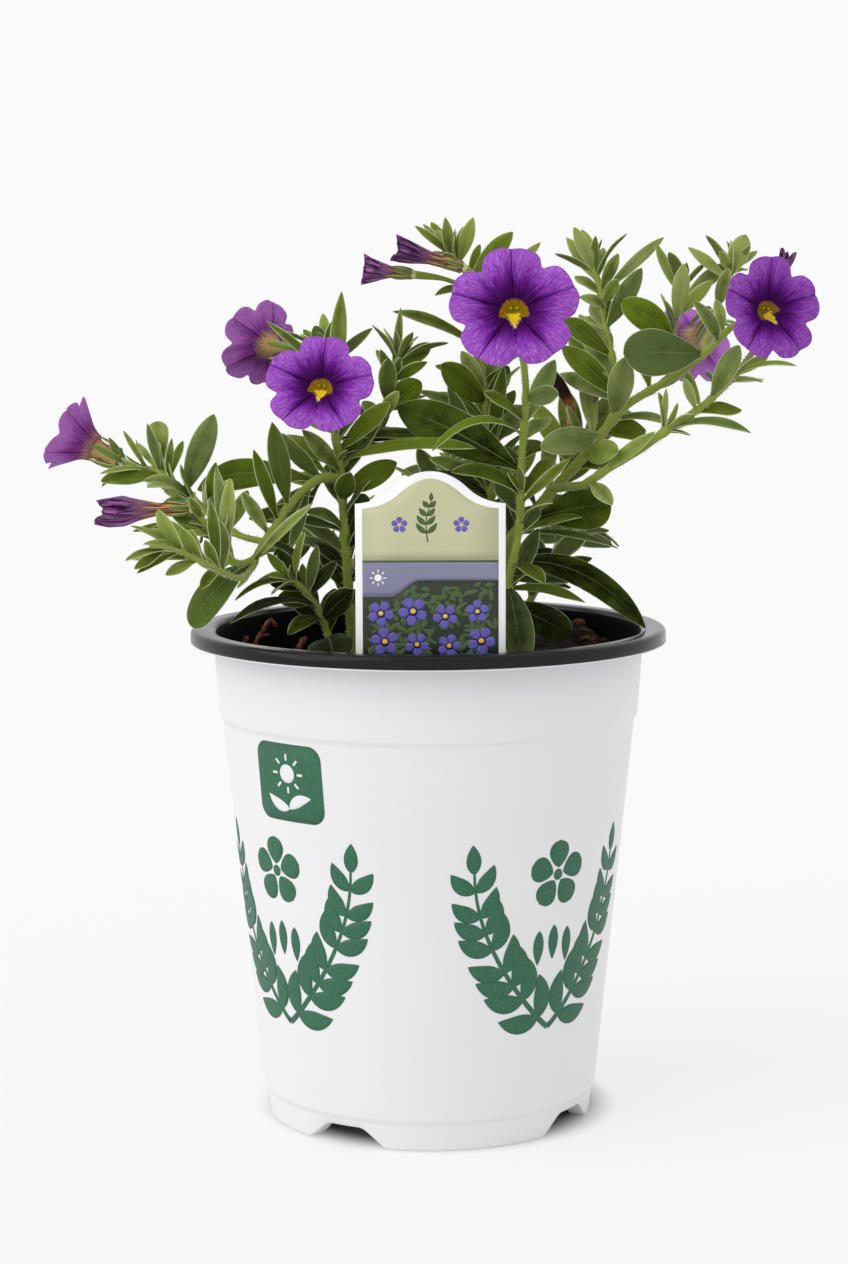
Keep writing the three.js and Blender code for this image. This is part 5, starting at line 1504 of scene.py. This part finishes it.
def stem_radii(first, last, line, shares, nodes):
    """The stem's taper, with a slight swelling where each leaf stands."""
    radii = first + (last - first) * shares
    for at in nodes:
        radii = radii * (1 + 0.22 * np.exp(-((shares - at) * line.length / 1.1) ** 2))
    return radii * 0.92


def make_shoot(name):
    first, last, points = SHOOTS[name]
    line, build = smooth_line(points), Build()
    leaves = LEAVES.get(name, [])
    shares = np.linspace(0, 1, max(16, round(line.length / 1.1)))
    tone = np.zeros((len(shares), STEM_SIDES, 3))
    tone[..., 0] = smoothstep(*BROWN.get(name, (2.0, 3.0)), shares)[:, None]
    radii = stem_radii(first, last, line, shares, [leaf[0] for leaf in leaves])
    level = ROOT_Z - 1.2 if points[0][2] == ROOT_Z else None
    add_tube(build, line, radii, STEM_SIDES, STEM, tone, level)
    add_down(build, line, radii)
    for twig in TWIGS.get(name, []):
        add_twig(build, *twig)
    for at, x, y, z, width, bow, *rest in leaves:
        tip, (face, *own) = (x, y, z), rest or [FRONT]
        blade = bowed_line(line.at(at), tip, bow, face)
        shade, hue = leaf_shade(name, tip, width), leaf_hue()
        upper = shown_face(name, face)
        if own:
            shade, hue = own[1:3] or (shade, hue)
            leaf = Build()
            add_leaf(leaf, blade, width * 1.08, upper, shade, hue, 0, 20, own[3:])
            leaf.finish("leaf_" + own[0] + "_blade", "leaf", "leaf_" + own[0])
        else:
            add_leaf(build, blade, width * 1.15, upper, shade, hue, rng.uniform(-0.25, 0.25))
        if rng.random() < OPEN_SHOOTS.get(name, YOUNG_SHARE):
            add_axil_leaves(build, line, at, tip, shade)
    if name in FILLERS:
        add_fillers(build, name, line)
    for flower in FLOWERS + BUDS:
        if flower["shoot"] == name:
            add_sepals(build, seat_of(flower), flower_axis(flower), 0.7,
                       BUD_SEPALS if flower in BUDS else OPEN_SEPALS)
    if name in ROSETTES:
        add_rosette(build, line, *ROSETTES[name])
    build.finish("shoot_" + name + "_stem", "stem", "shoot_" + name)


# ---------------- flowers

PETAL_COLUMNS = 180
PETAL_RINGS = 46
PETAL_THICK = 0.32
# The flower's half outline from the foot of its tube to the edge of its limb: radius as a
# share of the limb's (or in mm, for the tube), and height, measured from seat or limb. The
# throat closes a little way down the tube.
TUBE = ((1.0, 0.08), (1.15, 0.3), (1.45, 0.5))
LIMB = ((0.165, -4.9), (0.225, -2.9), (0.31, -1.75), (0.48, -0.85), (0.68, -0.3), (0.86, 0.0),
        (1.0, -0.1))
THROAT = ((0.01, -4.3), (0.07, -4.2), (0.13, -3.9), (0.175, -3.4), (0.205, -2.9))
CONE_DEPTH = 8.4            # how deep a flower that is a plain funnel is


def lobe_reach(angle):
    """The edge of the limb: narrow notches between the lobes, and a dent in each."""
    share = np.abs((angle * 5 / TURN) % 1 - 0.5)
    from_notch, from_middle = share * TURN / 5, (0.5 - share) * TURN / 5
    notch = 0.14 * np.exp(-(from_notch / 0.11) ** 2) + 0.09 * np.exp(-(from_notch / 0.32) ** 2)
    return 1.02 - notch - 0.035 * np.exp(-(from_middle / 0.13) ** 2)


def ruffled(angle, heights, seed, waves=2.6, rise=2):
    """Smooth chance round a flower, for each of its heights."""
    return np.array([[swirl(waves * math.cos(a) + seed, waves * math.sin(a), rise * height)
                      for a in angle] for height in heights])


def make_flower(flower):
    seat, axis = seat_of(flower), flower_axis(flower)
    size, turn = flower["radius"], math.radians(flower["turn"])
    length = np.linalg.norm(np.array(flower["limb"]) - seat)
    scale, wide = size / 15, flower.get("tube", 1)
    cone, deep = flower.get("cone", 0), flower.get("deep", CONE_DEPTH)

    def rise_at(share, height):
        return length + (1 - cone) * height * scale - cone * deep * (1 - share)

    outline = [(r * wide, 0, share * length) for r, share in TUBE]
    outline += [(max(r * size, (1.5 + 2 * r) * wide), 0, rise_at(r, h)) for r, h in LIMB]
    shares = np.linspace(0, 1, PETAL_RINGS)
    radius, _, height = smooth_line(outline).at(shares).T
    rho, angle = radius / size, circle(PETAL_COLUMNS)
    lobed = smoothstep(0.34, 1.0, rho)[:, None]
    ruffle = ruffled(angle, rho, size * 3.7)
    reach = radius[:, None] * (1 - lobed * (1 - lobe_reach(angle))) * (1 + 0.03 * lobed * ruffle)
    rise = height[:, None] + lobed * (0.5 * np.cos(5 * angle) + 0.9 * scale * ruffle)
    puff = smoothstep(0.3, 0.62, rho) * (1 - 0.7 * smoothstep(0.8, 1.0, rho))
    rise += 0.75 * scale * puff[:, None] * np.abs(np.sin(5 * angle)) ** 0.8
    crease = np.exp(-(np.sin(2.5 * angle) * rho[:, None] * size / 1.1) ** 2)
    rise -= 0.35 * scale * smoothstep(0.22, 0.4, rho)[:, None] * crease

    side = upright(axis)
    other, side = np.cross(axis, side), side * flower.get("tall", 1)
    cosine, sine = np.cos(angle + turn)[:, None] * side, np.sin(angle + turn)[:, None] * other
    middle = seat + axis * rise[..., None] + reach[..., None] * (cosine + sine)
    round_way = np.roll(middle, -1, axis=1) - np.roll(middle, 1, axis=1)
    normal = unit(np.cross(np.gradient(middle, axis=0), round_way))
    if np.sum(normal[-1] @ axis) < 0:
        normal = -normal
    taper = normal * PETAL_THICK / 2 * (1 - 0.45 * smoothstep(0.7, 1, rho))[:, None, None]
    rim = int(np.argmax(rho > 0.24 + 0.14 * (wide - 1)))
    hollow = np.array([seat + axis * rise_at(r, h) + r * size * (cosine + sine) for r, h in THROAT])
    inner = np.concatenate([hollow, (middle + taper)[rim:]])
    depth = np.concatenate([rho, np.concatenate([[r for r, _ in THROAT], rho[rim:]])[::-1]])
    depth -= 0.1 * (wide - 1) * (1 - depth)
    build = Build()
    look = (math.radians(flower.get("lip", 0)) * 5 / TURN, flower.get("dark", 0), 0)
    build.loft(np.concatenate([middle - taper, inner[::-1]]), PETAL_BACK, look,
               grid(depth, np.linspace(0, 5, PETAL_COLUMNS + 1))[..., ::-1], PETAL_FRONT,
               PETAL_RINGS)
    for k, x in enumerate((-0.75, 0.75)):
        up = side * math.cos(turn) + other * math.sin(turn)
        across = other * math.cos(turn) - side * math.sin(turn)
        place = seat + axis * (length - 3.9 * scale) + (up * 0.7 + across * x) * scale
        add_blob(build, place, (0.5 * scale, 0.42 * scale, 0.42 * scale), ANTHER,
                 (0, 0, 0.2 * k), 0.2, 8)
    build.finish(flower["name"] + "_corolla", "petal", flower["name"])


# ---------------- closed flowers

# Radius along a bud, as a share of its widest, when it is shut and when its mouth is open.
BUD_SHUT = ((0, 0.26), (0.12, 0.34), (0.35, 0.42), (0.55, 0.66), (0.72, 0.98), (0.88, 0.95),
            (1.0, 0.55))
BUD_OPEN = ((0, 0.26), (0.2, 0.32), (0.4, 0.42), (0.6, 0.62), (0.8, 0.86), (1.0, 1.12))
BUD_MOUTH = ((0.99, 0.86), (0.92, 0.7), (0.8, 0.42), (0.74, 0.06))
BUD_COLUMNS = 80
BUD_RINGS = 30


def make_bud(bud):
    """A flower that hasn't opened or is closing: a slim tube and folded, twisted lobes that
    end in a few pointed corners."""
    flare, neck, corners, notch, ragged, dark = bud["look"]
    seat, axis = seat_of(bud), flower_axis(bud)
    tip, size = np.array(bud["tip"], float), bud["radius"]
    start, shares = seat + axis * 1.0, np.linspace(0, 1, BUD_RINGS)
    side, angle = upright(axis), circle(BUD_COLUMNS)
    other = np.cross(axis, side)
    shut, opened = (np.interp(shares, *zip(*swell)) for swell in (BUD_SHUT, BUD_OPEN))
    swell = size * np.maximum(shut * (1 - flare) + opened * flare, neck)
    along = np.array([*shares, *(share for share, _ in BUD_MOUTH)])
    radii = np.array([*swell, *(part * np.interp(share, shares, swell)
                                for share, part in BUD_MOUTH)])
    length, seed = np.linalg.norm(tip - start), size * 9 + tip[0]
    corner = (0.5 + 0.5 * np.cos(corners * angle)) ** 0.8
    rings = []
    for share, radius, chance in zip(along, radii, ruffled(angle, along, seed, 1.7, 3)):
        twist = angle + 0.7 * share
        fold = 1 + 0.14 * share * np.cos(5 * twist) + 0.05 * share ** 2 * np.cos(11 * twist + 1)
        fold = radius * fold * (1 + ragged * 0.6 * share * chance)
        edge = notch * (corner - 0.5) + 0.6 * ragged * chance
        rings.append(start + np.outer(share * length + share ** 5 * size * edge, axis)
                     + np.outer(fold * np.cos(angle), side)
                     + np.outer(0.8 * fold * np.sin(angle), other))
    tone = np.zeros((len(rings), BUD_COLUMNS, 3))
    tone[..., 0] = dark
    tone[-len(BUD_MOUTH):, :, 0] = 1
    build = Build()
    build.loft(rings, BUD, tone, grid(along, np.linspace(0, 1, BUD_COLUMNS + 1)))
    build.finish(bud["name"] + "_closed", "bud", bud["name"])


# ---------------- the scene

FLOOR_HALF = 60             # in metres, like the next
FLOOR_DROP = 0.0001


def make_floor():
    mesh = bpy.data.meshes.new("floor")
    corners = [(-1, -1), (1, -1), (1, 1), (-1, 1)]
    mesh.from_pydata([(x * FLOOR_HALF, y * FLOOR_HALF, 0) for x, y in corners], [], [(0, 1, 2, 3)])
    mesh.materials.append(floor_material())
    floor = link("floor", mesh)
    floor.location.z = -FLOOR_DROP


make_camera()
make_lights()
make_floor()
make_pot()
make_print()
make_tag()
make_soil()
for shoot_name in SHOOTS:
    make_shoot(shoot_name)
for open_flower in FLOWERS:
    make_flower(open_flower)
for closed_flower in BUDS:
    make_bud(closed_flower)
